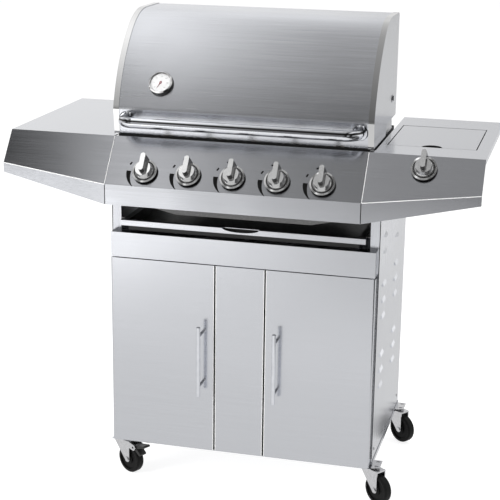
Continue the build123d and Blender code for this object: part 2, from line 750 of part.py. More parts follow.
# Pan support: a ring on the bowl's floor with four bent fingers over the burner
with BuildPart() as pan_support:
    with BuildSketch(Plane.XY.offset(BOWL_FLOOR)):
        with Locations((SIDE_OUTLET.X, LID_MID[1])):
            Circle(SUPPORT_R)
            Circle(SUPPORT_R - SUPPORT_T, mode=Mode.SUBTRACT)
        with Locations((SIDE_OUTLET.X, LID_MID[1] - SUPPORT_R)):
            Rectangle(2 * SIDE_TUBE_R + 2 * SUPPORT_T, 4 * SUPPORT_T, mode=Mode.SUBTRACT)
    extrude(amount=SUPPORT_T)
    with BuildSketch(Plane.XY.offset(BOWL_FLOOR)):
        with Locations((SIDE_OUTLET.X, LID_MID[1])):
            with PolarLocations(SUPPORT_R - SUPPORT_T / 2, 4, start_angle=45):
                Rectangle(SUPPORT_T, SUPPORT_T)
    extrude(amount=SUPPORT_H)
    with BuildSketch(Plane.XY.offset(BOWL_FLOOR + SUPPORT_H)):
        with Locations((SIDE_OUTLET.X, LID_MID[1])):
            with PolarLocations((SUPPORT_R + HEAD_POCKET_R) / 2, 4, start_angle=45):
                Rectangle(SUPPORT_R - HEAD_POCKET_R, SUPPORT_T)
    extrude(amount=-SUPPORT_T)
save(pan_support, "pan_support")

# Side burner lid: a shallow pan, flush with the shelf, on two pins at its back corners
with BuildPart() as side_burner_lid:
    lid_front = LID_Y0 + LID_FRONT_GAP
    lid_back = LID_Y1 - LID_BACK_GAP
    with BuildSketch(Plane.XY.offset(TOP_Z)):
        with Locations((LID_MID[0], (lid_front + lid_back) / 2)):
            Rectangle(LID_OPEN_W - 2 * LID_SIDE_GAP, lid_back - lid_front)
    extrude(amount=-LID_H)
    offset(amount=-SHEET, openings=side_burner_lid.faces().sort_by(Axis.Z)[0])
    with BuildSketch(Plane.XY.offset(TOP_Z)):
        with Locations((LID_MID[0], lid_front)):
            Circle(NOTCH_R)
    extrude(amount=-LID_H, mode=Mode.SUBTRACT)
    for x, way in ((LID_X0, 1), (LID_X1, -1)):
        with BuildSketch(Plane.YZ.offset(x - way * (SHEET + SEAT))):
            with Locations((LID_AXIS_Y, LID_AXIS_Z)):
                Circle(LID_PIN_R)
        extrude(amount=way * (LID_SIDE_GAP + 3 * SHEET))
save(side_burner_lid, "side_burner_lid")

# Firebox: four walls, inner ledges, a floor that slopes to a middle opening, side ledges on the
# cart, hinge ears and burner holes
FIREBOX_MID_Y = (FIREBOX_FRONT_Y + FIREBOX_BACK_Y) / 2
GRATE_Z = FIREBOX_TOP - GRATE_DOWN
MAIN_OUTLET = CONTROL_PLANES[0].origin - FACE_OUT * OUTLET_IN
TAMER_Z = MAIN_OUTLET.Z + BURNER_R + TAMER_CLEAR + FIREBOX_T
with BuildPart() as firebox:
    with BuildSketch(Plane.XY.offset(FIREBOX_BOTTOM)):
        with Locations((0, FIREBOX_MID_Y)):
            Rectangle(2 * FIREBOX_X, FIREBOX_D)
            Rectangle(2 * (FIREBOX_X - FIREBOX_T), FIREBOX_D - 2 * FIREBOX_T, mode=Mode.SUBTRACT)
    extrude(amount=FIREBOX_TOP - FIREBOX_BOTTOM)
    for z, width, half in (
        (GRATE_Z, LEDGE_W, FIREBOX_X),
        (TAMER_Z, LEDGE_W, FIREBOX_X),
        (FIREBOX_BOTTOM + FIREBOX_T, BOTTOM_FLANGE, FUNNEL_X),
    ):
        with BuildSketch(Plane.XY.offset(z)):
            with Locations((0, FIREBOX_MID_Y)):
                Rectangle(2 * half, FIREBOX_D)
                Rectangle(2 * half, FIREBOX_D - 2 * width, mode=Mode.SUBTRACT)
        extrude(amount=-FIREBOX_T)
    for way in (-1, 1):
        with BuildSketch(Plane.XZ.offset(-FIREBOX_BACK_Y)):
            Polygon(
                (way * FUNNEL_X, FIREBOX_BOTTOM),
                (way * FIREBOX_X, FIREBOX_BOTTOM),
                (way * FIREBOX_X, FIREBOX_BOTTOM + FUNNEL_RISE),
                align=None,
            )
        extrude(amount=FIREBOX_D, mode=Mode.SUBTRACT)
        with BuildSketch(Plane.XZ.offset(-FIREBOX_BACK_Y)):
            Polygon(
                (way * FUNNEL_X, FIREBOX_BOTTOM),
                (way * FIREBOX_X, FIREBOX_BOTTOM + FUNNEL_RISE),
                (way * FIREBOX_X, FIREBOX_BOTTOM + FUNNEL_RISE + FIREBOX_T),
                (way * FUNNEL_X, FIREBOX_BOTTOM + FIREBOX_T),
                align=None,
            )
        extrude(amount=FIREBOX_D)
    for way in (-1, 1):
        with BuildSketch(Plane.XY.offset(SIDE_TOP)):
            with Locations((way * (FIREBOX_X + LEDGE_OUT / 2), FIREBOX_MID_Y)):
                Rectangle(LEDGE_OUT, FIREBOX_D - 2 * LEDGE_W)
        extrude(amount=FIREBOX_T)
        with BuildSketch(Plane.YZ.offset(way * FIREBOX_X)) as ear:
            Polygon(
                (HINGE_Y - EAR_FRONT, GRATE_Z),
                (HINGE_Y + EAR_BACK, GRATE_Z),
                (HINGE_Y + EAR_BACK, FIREBOX_TOP),
                (HINGE_Y + EAR_TOP_R, HINGE_Z),
                (HINGE_Y, HINGE_Z + EAR_TOP_R),
                (HINGE_Y - EAR_TOP_R, HINGE_Z),
                (HINGE_Y - EAR_FRONT, FIREBOX_TOP + STEP_RISE),
                align=None,
            )
            with Locations((HINGE_Y, HINGE_Z)):
                Circle(HINGE_PIN_R + RUN, mode=Mode.SUBTRACT)
        extrude(amount=-way * FIREBOX_T)
    with BuildSketch(Plane.XZ.offset(-(FIREBOX_FRONT_Y + 2 * FIREBOX_T))):
        with Locations(*[(x, MAIN_OUTLET.Z) for x in KNOB_XS]):
            Circle(BURNER_R + SEAT)
    extrude(amount=4 * FIREBOX_T, mode=Mode.SUBTRACT)
save(firebox, "firebox")

# Tube burners: open at the valve end, closed at the back wall
BURNER_BACK_Y = FIREBOX_BACK_Y - FIREBOX_T - SEAT
BURNER_FRONT_Y = FIREBOX_FRONT_Y - BURNER_OUT
with BuildPart() as tube_burners:
    with BuildSketch(Plane.XZ.offset(-BURNER_BACK_Y)):
        with Locations(*[(x, MAIN_OUTLET.Z) for x in KNOB_XS]):
            Circle(BURNER_R)
    extrude(amount=BURNER_BACK_Y - BURNER_FRONT_Y)
    with BuildSketch(Plane.XZ.offset(-BURNER_FRONT_Y)):
        with Locations(*[(x, MAIN_OUTLET.Z) for x in KNOB_XS]):
            Circle(BURNER_R - BURNER_T)
    extrude(amount=-(BURNER_BACK_Y - BURNER_FRONT_Y - BURNER_T), mode=Mode.SUBTRACT)
save(tube_burners, "tube_burners")

# Flame tamers: folded roofs over the burners, on the lower ledges
INNER_D = FIREBOX_D - 2 * FIREBOX_T - 2 * SEAT
INNER_BACK_Y = FIREBOX_BACK_Y - FIREBOX_T - SEAT
with BuildPart() as flame_tamers:
    roof = [(TAMER_HALF_W, 0), (0, TAMER_RISE), (-TAMER_HALF_W, 0)]
    with BuildSketch(Plane.XZ.offset(-INNER_BACK_Y)):
        with Locations(*[(x, TAMER_Z) for x in KNOB_XS]):
            Polygon(*folded(roof, FIREBOX_T), align=None)
        with Locations((0, TAMER_Z - FIREBOX_T)):
            Rectangle(2 * FIREBOX_X, 2 * FIREBOX_T, mode=Mode.SUBTRACT)
    extrude(amount=INNER_D)
save(flame_tamers, "flame_tamers")


def cooking_grate(way):
    """One cast grate: a frame with bars from front to back, on the upper ledges."""
    width = FIREBOX_X - FIREBOX_T - SEAT - GRATE_GAP / 2
    middle = way * (GRATE_GAP + width) / 2
    inner_w = width - 2 * GRATE_FRAME
    pitch = (inner_w + GRATE_BAR) / (GRATE_BARS + 1)
    with BuildPart() as grate:
        with BuildSketch(Plane.XY.offset(GRATE_Z)):
            with Locations((middle, FIREBOX_MID_Y)):
                Rectangle(width, INNER_D)
                with GridLocations(pitch, 1, GRATE_BARS + 1, 1):
                    Rectangle(pitch - GRATE_BAR, INNER_D - 2 * GRATE_FRAME, mode=Mode.SUBTRACT)
        extrude(amount=GRATE_T)
    return grate.part


with BuildPart() as left_cooking_grate:
    add(cooking_grate(-1))
save(left_cooking_grate, "left_cooking_grate")

with BuildPart() as right_cooking_grate:
    add(cooking_grate(1))
save(right_cooking_grate, "right_cooking_grate")

# Warming rack: a barred shelf on four legs that stand on the cooking grates
RACK_W = 2 * (FIREBOX_X - FIREBOX_T) - 2 * GRATE_FRAME
RACK_Y = FIREBOX_BACK_Y - RACK_BACK_IN - RACK_D / 2
RACK_Z = GRATE_Z + GRATE_T
RACK_PITCH = (RACK_W - RACK_LEG) / (RACK_BARS + 1)
with BuildPart() as warming_rack:
    with BuildSketch(Plane.XY.offset(RACK_Z + RACK_H)):
        with Locations((0, RACK_Y)):
            Rectangle(RACK_W, RACK_D)
            with GridLocations(RACK_PITCH, 1, RACK_BARS + 1, 1):
                Rectangle(RACK_PITCH - RACK_T, RACK_D - 2 * RACK_LEG, mode=Mode.SUBTRACT)
    extrude(amount=-RACK_T)
    with BuildSketch(Plane.XY.offset(RACK_Z)):
        with Locations((0, RACK_Y)):
            with GridLocations(RACK_W - RACK_LEG, RACK_D - RACK_LEG, 2, 2):
                Rectangle(RACK_LEG, RACK_LEG)
    extrude(amount=RACK_H)
save(warming_rack, "warming_rack")

# Gas manifold: inlet spigot at its left end, brackets to the firebox, feed pipe to the side burner
PIPE_AT = CONTROL_PLANES[0].origin - FACE_OUT * PIPE_IN
FEED_AT = SIDE_PLANE.origin - FACE_OUT * PIPE_IN
PIPE_END_X = KNOB_XS[-1] + PIPE_OVERHANG
INLET_X = SHELF_IN_X + INLET_L
FEED_BEND = 16.0
FEED_RUN = 40.0
with BuildPart() as gas_manifold:
    with BuildSketch(Plane.YZ.offset(-SHELF_IN_X)):
        with Locations((PIPE_AT.Y, PIPE_AT.Z)):
            Circle(PIPE_R)
    extrude(amount=SHELF_IN_X + PIPE_END_X)
    with BuildSketch(Plane.YZ.offset(-INLET_X)):
        with Locations((PIPE_AT.Y, PIPE_AT.Z)):
            Circle(INLET_R)
    extrude(amount=INLET_L)
    for x in (KNOB_XS[0] + KNOB_PITCH / 2, KNOB_XS[-1] - KNOB_PITCH / 2):
        with BuildSketch(Plane.YZ.offset(x)):
            with Locations(((PIPE_AT.Y + FIREBOX_FRONT_Y) / 2, PIPE_AT.Z)):
                Rectangle(FIREBOX_FRONT_Y - PIPE_AT.Y, 2 * PIPE_R)
        extrude(amount=BRACKET_T)
        with BuildSketch(Plane.XZ.offset(-FIREBOX_FRONT_Y)):
            with Locations((x, PIPE_AT.Z)):
                Rectangle(BRACKET_W, 2 * PIPE_R)
        extrude(amount=BRACKET_T)
    with BuildLine() as feed_route:
        FilletPolyline(
            (PIPE_END_X - PIPE_R, PIPE_AT.Y, PIPE_AT.Z),
            (PIPE_END_X + FEED_RUN, PIPE_AT.Y, PIPE_AT.Z),
            (FEED_AT.X - FEED_RUN, FEED_AT.Y, FEED_AT.Z),
            (FEED_AT.X + VALVE_R, FEED_AT.Y, FEED_AT.Z),
            radius=FEED_BEND,
        )
    with BuildSketch(Plane.YZ.offset(PIPE_END_X - PIPE_R)):
        with Locations((PIPE_AT.Y, PIPE_AT.Z)):
            Circle(FEED_R)
    sweep(path=feed_route.line)
save(gas_manifold, "gas_manifold")


def valve(plane, pipe_r, pipe_at, tube_mouth_y):
    """Gas valve: a body saddled on its pipe, bored for the spindle, with an outlet to a tube."""
    outlet = plane.origin - FACE_OUT * OUTLET_IN
    with BuildPart() as body:
        with BuildSketch(plane.offset(-PIPE_IN)):
            Circle(VALVE_R)
        extrude(amount=PIPE_IN - VALVE_START)
        with BuildSketch(Plane.XZ.offset(-outlet.Y)):
            with Locations((outlet.X, outlet.Z)):
                Circle(OUTLET_R)
        extrude(amount=-(tube_mouth_y + OUTLET_LAP - outlet.Y))
        with BuildSketch(plane.offset(-VALVE_START)):
            Circle(SPINDLE_R + RUN)
        extrude(amount=-(SPINDLE_IN - VALVE_START + VALVE_BORE_SPARE), mode=Mode.SUBTRACT)
        with BuildSketch(Plane.YZ.offset(plane.origin.X)):
            with Locations((pipe_at.Y, pipe_at.Z)):
                Circle(pipe_r + RUN)
        extrude(amount=2 * VALVE_R, both=True, mode=Mode.SUBTRACT)
    return body.part


with BuildPart() as gas_valves:
    for control_plane in CONTROL_PLANES:
        add(valve(control_plane, PIPE_R, PIPE_AT, BURNER_FRONT_Y))
    add(valve(SIDE_PLANE, FEED_R, FEED_AT, LID_Y0 - BURNER_OUT))
save(gas_valves, "gas_valves")


def spindle(plane):
    """Valve spindle: slides in the valve's bore and carries the knob."""
    with BuildPart() as rod:
        with BuildSketch(plane.offset(-SPINDLE_IN)):
            Circle(SPINDLE_R)
        extrude(amount=SPINDLE_IN + SPINDLE_OUT)
    return rod.part


def knob(plane):
    """Chrome knob: flared skirt, round body and a grip bar that points up when off."""
    section = section_of(plane)
    bore_top = SPINDLE_OUT + SEAT
    with BuildPart() as turned:
        with BuildSketch(section):
            with BuildLine():
                Polyline(
                    (0, KNOB_GAP),
                    (SKIRT_R, KNOB_GAP),
                    (SKIRT_R, KNOB_GAP + SKIRT_T),
                    (BODY_R, KNOB_GAP + SKIRT_T + 1.5),
                    (BODY_TOP_R, KNOB_GAP + BODY_H),
                    (0, KNOB_GAP + BODY_H),
                    close=True,
                )
            make_face()
        revolve(axis=Axis(plane.origin, plane.z_dir))
        with BuildSketch(plane.offset(KNOB_GAP + SKIRT_T)):
            with Locations((0, (GRIP_UP - GRIP_DOWN) / 2)):
                SlotOverall(GRIP_UP + GRIP_DOWN, GRIP_W, rotation=90)
        extrude(amount=GRIP_H - SKIRT_T, taper=3)
        with BuildSketch(plane.offset(KNOB_GAP)):
            Circle(SPINDLE_R + RUN)
        extrude(amount=bore_top - KNOB_GAP, mode=Mode.SUBTRACT)
    return turned.part


CONTROLS = {f"burner_{i + 1}": plane for i, plane in enumerate(CONTROL_PLANES)}
CONTROLS["side_burner"] = SIDE_PLANE
for control, control_plane in CONTROLS.items():
    with BuildPart() as control_spindle:
        add(spindle(control_plane))
    save(control_spindle, f"{control}_spindle")
    with BuildPart() as control_knob:
        add(knob(control_plane))
    save(control_knob, f"{control}_knob")

# Hood profile in depth and height: band, first arc, second arc, flat top, back and stepped foot
BAND_FOOT = (FIREBOX_FRONT_Y - HOOD_FRONT_IN, HOOD_BOTTOM)
KNEE = (BAND_FOOT[0] - BAND_LEAN, HOOD_BOTTOM + BAND_H)


def on_arc(centre, radius, angle):
    """Point of a hood arc, by its angle up from level towards the front."""
    return centre[0] - radius * cos(radians(angle)), centre[1] + radius * sin(radians(angle))


ARC1_AT = (
    KNEE[0] + ARC1_R * cos(radians(ARC1_START)),
    KNEE[1] - ARC1_R * sin(radians(ARC1_START)),
)
ARC1_TIP = on_arc(ARC1_AT, ARC1_R, ARC1_END)
ARC2_AT = (
    ARC1_TIP[0] + ARC2_R * cos(radians(ARC1_END)),
    ARC1_TIP[1] - ARC2_R * sin(radians(ARC1_END)),
)
CROWN = on_arc(ARC2_AT, ARC2_R, 90)
HOOD_BACK_Y = CROWN[0] + TOP_FLAT


def hood_outline(inset):
    """Closed profile of the hood, moved inwards by an inset, in depth and height."""
    with BuildSketch() as outline:
        with BuildLine():
            Line(BAND_FOOT, KNEE)
            ThreePointArc(KNEE, on_arc(ARC1_AT, ARC1_R, (ARC1_START + ARC1_END) / 2), ARC1_TIP)
            ThreePointArc(ARC1_TIP, on_arc(ARC2_AT, ARC2_R, (ARC1_END + 90) / 2), CROWN)
            Polyline(
                CROWN,
                (HOOD_BACK_Y, CROWN[1]),
                (HOOD_BACK_Y, HOOD_BOTTOM + STEP_RISE),
                (BAND_FOOT[0] + STEP_IN + STEP_RUN, HOOD_BOTTOM + STEP_RISE),
                (BAND_FOOT[0] + STEP_IN, HOOD_BOTTOM),
                BAND_FOOT,
            )
        make_face()
        corners = outline.vertices()
        fillet(corners.sort_by_distance((*KNEE, 0))[0], KNEE_R)
        corners = outline.vertices()
        fillet(corners.sort_by_distance((HOOD_BACK_Y, CROWN[1], 0))[0], BACK_ROUND)
        if inset:
            offset(amount=-inset, mode=Mode.REPLACE)
    return outline.sketch


def hood_shell(outer, inner, x0, x1, back_z):
    """Bent sheet between two insets of the hood profile, open below and low at the back."""
    foot = HOOD_BOTTOM + outer
    with BuildPart() as shell:
        with BuildSketch(Plane.YZ.offset(x0)):
            add(hood_outline(outer))
            add(hood_outline(inner), mode=Mode.SUBTRACT)
            low_y = BAND_FOOT[0] + BAND_FLANGE
            with Locations(((low_y + HOOD_BACK_Y) / 2 + SHEET, (foot + back_z) / 2 - SHEET)):
                Rectangle(HOOD_BACK_Y - low_y + 2 * SHEET, back_z - foot + 2 * SHEET, mode=Mode.SUBTRACT)
        extrude(amount=x1 - x0)
    return shell.part


BACK_WALL_Z = HINGE_Z + BACK_WALL_UP
GAUGE_AT = on_arc(ARC1_AT, ARC1_R, GAUGE_TILT)
GAUGE_FACE = GAUGE_TILT + GAUGE_LEAN
GAUGE_OUT = Vector(0, -cos(radians(GAUGE_FACE)), sin(radians(GAUGE_FACE)))
GAUGE_PLANE = Plane(Vector(GAUGE_X, *GAUGE_AT), (1, 0, 0), GAUGE_OUT)
SKIN_X = HOOD_X - END_T - SEAT

with BuildPart() as hood_skin:
    add(hood_shell(RIM_T, RIM_T + HOOD_T, -SKIN_X, SKIN_X, BACK_WALL_Z))
    with BuildSketch(GAUGE_PLANE):
        Circle(PROBE_R + SEAT)
    extrude(amount=3 * (RIM_T + HOOD_T), both=True, mode=Mode.SUBTRACT)
save(hood_skin, "hood_skin")


def hood_end():
    """Right end panel: a plate with a polished rim over the skin and a small hinge plate."""
    with BuildPart() as end:
        with BuildSketch(Plane.YZ.offset(HOOD_X - END_T)):
            add(hood_outline(0))
        extrude(amount=END_T)
        add(hood_shell(0, RIM_T, HOOD_X - RIM_W, HOOD_X, BACK_WALL_Z))
        with BuildSketch(Plane.YZ.offset(HOOD_X)):
            with Locations((HINGE_Y, HINGE_Z)):
                SlotOverall(PLATE_L, PLATE_W)
        extrude(amount=PLATE_T)
        with BuildSketch(Plane.YZ.offset(HOOD_X - END_T)):
            with Locations((HINGE_Y, HINGE_Z)):
                Circle(HINGE_PIN_R + RUN)
        extrude(amount=END_T + PLATE_T, mode=Mode.SUBTRACT)
    return end.part


with BuildPart() as hood_right_end:
    add(hood_end())
save(hood_right_end, "hood_right_end")

with BuildPart() as hood_left_end:
    mirror(hood_end(), about=Plane.YZ)
save(hood_left_end, "hood_left_end")

# Hinge pins: held in the firebox ears, their heads outside the hood ends
with BuildPart() as hood_hinge_pins:
    with BuildSketch(Plane.YZ.offset(FIREBOX_X - 3 * FIREBOX_T)):
        with Locations((HINGE_Y, HINGE_Z)):
            Circle(HINGE_PIN_R)
    extrude(amount=HOOD_X + PLATE_T + SEAT - FIREBOX_X + 3 * FIREBOX_T)
    with BuildSketch(Plane.YZ.offset(HOOD_X + PLATE_T + SEAT)):
        with Locations((HINGE_Y, HINGE_Z)):
            Circle(HINGE_HEAD_R)
    extrude(amount=HINGE_HEAD_T)
    mirror(about=Plane.YZ)
save(hood_hinge_pins, "hood_hinge_pins")

# Hood handle: a bent tube on two round flanges that sit on the lower band
HANDLE_Z = HOOD_BOTTOM + HANDLE_UP
BAND_Y = BAND_FOOT[0] - BAND_LEAN * HANDLE_UP / BAND_H + RIM_T
BAND_OUT = Vector(0, -BAND_H, -BAND_LEAN).normalized()
HANDLE_SINK = 6.0
with BuildPart() as hood_handle:
    with BuildLine() as tube_route:
        FilletPolyline(
            (-HANDLE_X, BAND_Y - HANDLE_SINK, HANDLE_Z),
            (-HANDLE_X, BAND_Y - HANDLE_OUT, HANDLE_Z),
            (HANDLE_X, BAND_Y - HANDLE_OUT, HANDLE_Z),
            (HANDLE_X, BAND_Y - HANDLE_SINK, HANDLE_Z),
            radius=HANDLE_BEND,
        )
    with BuildSketch(Plane.XZ.offset(-(BAND_Y - HANDLE_SINK))):
        with Locations((-HANDLE_X, HANDLE_Z)):
            Circle(HANDLE_R)
    sweep(path=tube_route.line)
    for x in (-HANDLE_X, HANDLE_X):
        flange_plane = Plane(Vector(x, BAND_Y, HANDLE_Z) + BAND_OUT * SEAT, (1, 0, 0), BAND_OUT)
        with BuildSketch(flange_plane):
            Circle(FLANGE_R)
        extrude(amount=FLANGE_T, taper=30)
        with BuildSketch(flange_plane):
            Circle(HANDLE_R)
        extrude(amount=2 * HANDLE_SINK)
save(hood_handle, "hood_handle")

# Thermometer: a case leaning back from the hood and cut to its curve, a pivot pin and a probe through the skin
GAUGE_SINK = 2 * GAUGE_R * tan(radians(GAUGE_LEAN))
DIAL_Z = GAUGE_H - DIAL_DOWN
LENS_Z = GAUGE_H - LENS_T - SEAT
NEEDLE_Z = DIAL_Z + 0.8
with BuildPart() as gauge_case:
    with BuildSketch(section_of(GAUGE_PLANE)):
        with BuildLine():
            Polyline(
                (0, -GAUGE_SINK),
                (GAUGE_R, -GAUGE_SINK),
                (GAUGE_R, GAUGE_H - 2 * SHEET),
                (GAUGE_R - 2 * SHEET, GAUGE_H),
                (LENS_R, GAUGE_H),
                (LENS_R, LENS_Z),
                (DIAL_R, LENS_Z),
                (DIAL_R, DIAL_Z),
                (NEEDLE_PIN_R, DIAL_Z),
                (NEEDLE_PIN_R, NEEDLE_Z + NEEDLE_T),
                (0, NEEDLE_Z + NEEDLE_T),
                close=True,
            )
        make_face()
    revolve(axis=Axis(GAUGE_PLANE.origin, GAUGE_PLANE.z_dir))
    with BuildSketch(Plane.YZ.offset(GAUGE_X - 2 * GAUGE_R)):
        add(hood_outline(RIM_T - SEAT))
    extrude(amount=4 * GAUGE_R, mode=Mode.SUBTRACT)
    with BuildSketch(section_of(GAUGE_PLANE)):
        with BuildLine():
            Polyline(
                (0, -PROBE_L),
                (PROBE_R / 2, -PROBE_L),
                (PROBE_R / 2, -3 * (RIM_T + HOOD_T)),
                (PROBE_R, -3 * (RIM_T + HOOD_T)),
                (PROBE_R, 0),
                (0, 0),
                close=True,
            )
        make_face()
    revolve(axis=Axis(GAUGE_PLANE.origin, GAUGE_PLANE.z_dir))
save(gauge_case, "gauge_case")

with BuildPart() as gauge_lens:
    with BuildSketch(GAUGE_PLANE.offset(LENS_Z)):
        Circle(LENS_R - RUN)
    extrude(amount=LENS_T)
save(gauge_lens, "gauge_lens")

with BuildPart() as gauge_needle:
    with BuildSketch(GAUGE_PLANE.offset(NEEDLE_Z)):
        with Locations(Location((0, 0), NEEDLE_REST)):
            Polygon(
                (-NEEDLE_W / 2, -NEEDLE_TAIL),
                (NEEDLE_W / 2, -NEEDLE_TAIL),
                (0, NEEDLE_L),
                align=None,
            )
        Circle(NEEDLE_HUB_R)
        Circle(NEEDLE_PIN_R + RUN, mode=Mode.SUBTRACT)
    extrude(amount=NEEDLE_T)
save(gauge_needle, "gauge_needle")

# Castors
FORK_Z = CASTOR_H - HEAD_T - SEAT - FORK_T
LEG_IN = WHEEL_W / 2 + WHEEL_SIDE_GAP
LEVER_AT = (TRAIL + 22.0, FORK_Z - 8.0)
PEDAL_AT = (TRAIL + 57.0, FORK_Z + 1.0)
SHOE_AT = (TRAIL + 42.0, FORK_Z - 24.0)
KING_FLANGE_R = 8.0
KING_FLANGE_T = 2.5


def castor_plane(place):
    """Plane on the floor under a castor's swivel axis, with X along its trail."""
    turn = radians(CASTOR_TURN_RIGHT if place[0] > 0 else CASTOR_TURN_LEFT)
    return Plane((*place, 0), (cos(turn), sin(turn), 0), (0, 0, 1))


# Castor heads: slotted top plate under the base panel, swivel race and flanged kingpin
with BuildPart() as castor_heads:
    with BuildSketch(Plane.XY.offset(CASTOR_H)):
        with Locations(*[(x + MOUNT_SHIFT, y) for x, y in CASTORS.values()]):
            Rectangle(MOUNT_L, MOUNT_W)
            with GridLocations(MOUNT_L - 2 * MOUNT_SLOT_IN, MOUNT_W - 2 * MOUNT_SLOT_IN, 2, 2):
                SlotOverall(MOUNT_SLOT, MOUNT_SLOT_W, mode=Mode.SUBTRACT)
    extrude(amount=-MOUNT_T)
    for z0, z1, radius in (
        (CASTOR_H - MOUNT_T, CASTOR_H - HEAD_T, HEAD_R),
        (CASTOR_H - HEAD_T, FORK_Z - SEAT, KING_R),
        (FORK_Z - SEAT, FORK_Z - SEAT - KING_FLANGE_T, KING_FLANGE_R),
    ):
        with BuildSketch(Plane.XY.offset(z0)):
            with Locations(*CASTORS.values()):
                Circle(radius)
        extrude(amount=z1 - z0)
save(castor_heads, "castor_heads")


def fork(place, braked):
    """Castor fork: swivel plate, two legs and the axle, with horns for a brake lever."""
    plane = castor_plane(place)
    side = section_of(plane)
    with BuildPart() as yoke:
        with BuildSketch(plane.offset(FORK_Z)):
            Circle(FORK_R)
            with Locations((LEG_BACK / 2, 0)):
                Rectangle(LEG_BACK, 2 * (LEG_IN + LEG_T))
            Circle(KING_R + RUN, mode=Mode.SUBTRACT)
        extrude(amount=FORK_T)
        for start in (LEG_IN, -LEG_IN - LEG_T):
            with BuildSketch(side.offset(start)):
                with Locations((TRAIL, WHEEL_R)):
                    Circle(AXLE_BOSS_R)
                with Locations(((LEG_FRONT + LEG_BACK) / 2, FORK_Z + FORK_T / 2)):
                    Rectangle(LEG_BACK - LEG_FRONT, FORK_T)
                make_hull()
            extrude(amount=LEG_T)
            if braked:
                with BuildSketch(side.offset(start)):
                    with Locations(LEVER_AT):
                        Circle(AXLE_BOSS_R)
                    with Locations((LEG_BACK / 2, FORK_Z)):
                        Rectangle(LEG_BACK, 2 * FORK_T)
                    make_hull()
                    with Locations(LEVER_AT):
                        Circle(LEVER_PIN_R + RUN, mode=Mode.SUBTRACT)
                extrude(amount=LEG_T)
                with BuildSketch(side.offset(start)):
                    with Locations(LEVER_AT):
                        Circle(LEVER_PIN_R + RUN)
                extrude(amount=LEG_T, mode=Mode.SUBTRACT)
        with BuildSketch(side):
            with Locations((TRAIL, WHEEL_R)):
                Circle(AXLE_R)
        extrude(amount=LEG_IN + 2 * LEG_T, both=True)
    return yoke.part


def wheel(place):
    """Castor wheel: hub, web and rounded tyre, bored for the axle."""
    plane = castor_plane(place)
    centre = plane.origin + plane.x_dir * TRAIL + plane.z_dir * WHEEL_R
    section = Plane(centre, plane.y_dir, plane.x_dir)
    web = WHEEL_W / 3
    with BuildPart() as roller:
        with BuildSketch(section):
            with Locations((0, (AXLE_R + RUN + HUB_R) / 2)):
                Rectangle(WHEEL_W, HUB_R - AXLE_R - RUN)
            with Locations((0, (HUB_R + WHEEL_R - TYRE_DEPTH) / 2)):
                Rectangle(2 * web, WHEEL_R - TYRE_DEPTH - HUB_R)
            with Locations((0, WHEEL_R - TYRE_DEPTH / 2)):
                tyre = Rectangle(WHEEL_W, TYRE_DEPTH)
            fillet(tyre.vertices().group_by(Axis.Y)[-1], TREAD_ROUND)
        revolve(axis=Axis(centre, plane.y_dir))
    return roller.part


def brake_lever(place):
    """Brake lever: pedal and shoe arms on a pin through the fork's horns."""
    side = section_of(castor_plane(place))
    with BuildPart() as lever:
        for tip, tip_r in ((PEDAL_AT, 3.0), (SHOE_AT, 3.5)):
            with BuildSketch(side):
                with Locations(LEVER_AT):
                    Circle(5.0)
                with Locations(tip):
                    Circle(tip_r)
                make_hull()
            extrude(amount=LEVER_W / 2, both=True)
        with BuildSketch(side):
            with Locations(LEVER_AT):
                Circle(LEVER_PIN_R)
        extrude(amount=LEG_IN + LEG_T, both=True)
    return lever.part


for corner, place in CASTORS.items():
    braked = corner.endswith("left")
    with BuildPart() as castor_fork:
        add(fork(place, braked))
    save(castor_fork, f"{corner}_fork")
    with BuildPart() as castor_wheel:
        add(wheel(place))
    save(castor_wheel, f"{corner}_wheel")
    if braked:
        with BuildPart() as castor_brake:
            add(brake_lever(place))
        save(castor_brake, f"{corner}_brake")
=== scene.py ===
"""Looks of the gas barbecue grill: finishes, printed marks, dial, fasteners, studio and camera."""
import json
import math

import bmesh
import bpy
from mathutils import Matrix, Vector


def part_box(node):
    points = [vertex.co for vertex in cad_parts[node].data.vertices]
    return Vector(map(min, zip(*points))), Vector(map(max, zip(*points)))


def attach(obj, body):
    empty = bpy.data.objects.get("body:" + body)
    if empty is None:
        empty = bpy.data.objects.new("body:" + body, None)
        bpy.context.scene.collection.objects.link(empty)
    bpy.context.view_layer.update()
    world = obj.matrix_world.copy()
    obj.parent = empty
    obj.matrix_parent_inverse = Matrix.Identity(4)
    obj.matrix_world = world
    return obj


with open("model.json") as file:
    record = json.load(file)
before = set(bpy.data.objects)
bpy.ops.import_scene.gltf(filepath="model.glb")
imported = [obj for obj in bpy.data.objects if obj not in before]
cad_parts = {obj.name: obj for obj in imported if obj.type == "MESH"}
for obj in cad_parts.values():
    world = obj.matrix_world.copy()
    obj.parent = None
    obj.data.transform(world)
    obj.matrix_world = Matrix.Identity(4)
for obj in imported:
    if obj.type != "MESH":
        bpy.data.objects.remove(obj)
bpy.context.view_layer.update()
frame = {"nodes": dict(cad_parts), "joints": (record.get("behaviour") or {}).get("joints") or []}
NODES = frame["nodes"]
JOINTS = {joint["name"]: joint for joint in frame["joints"]}
MM = 0.001


# Places of the part, read from the frame, in millimetres
def node_box(node):
    """Lowest and highest corner of a CAD node."""
    low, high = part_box(node)
    return low / MM, high / MM


def joint_at(name):
    """Place of a joint at rest."""
    return Vector(JOINTS[name]["pos_m"]) / MM


def joint_axis(name):
    """Direction of a joint's axis at rest."""
    return Vector(JOINTS[name]["axis"])


SIDES = (-1, 1)
FRONT = Vector((0, -1, 0))
BURNERS = tuple(f"burner_{i}" for i in range(1, 6))
CASTORS = ("front_left", "front_right", "back_left", "back_right")

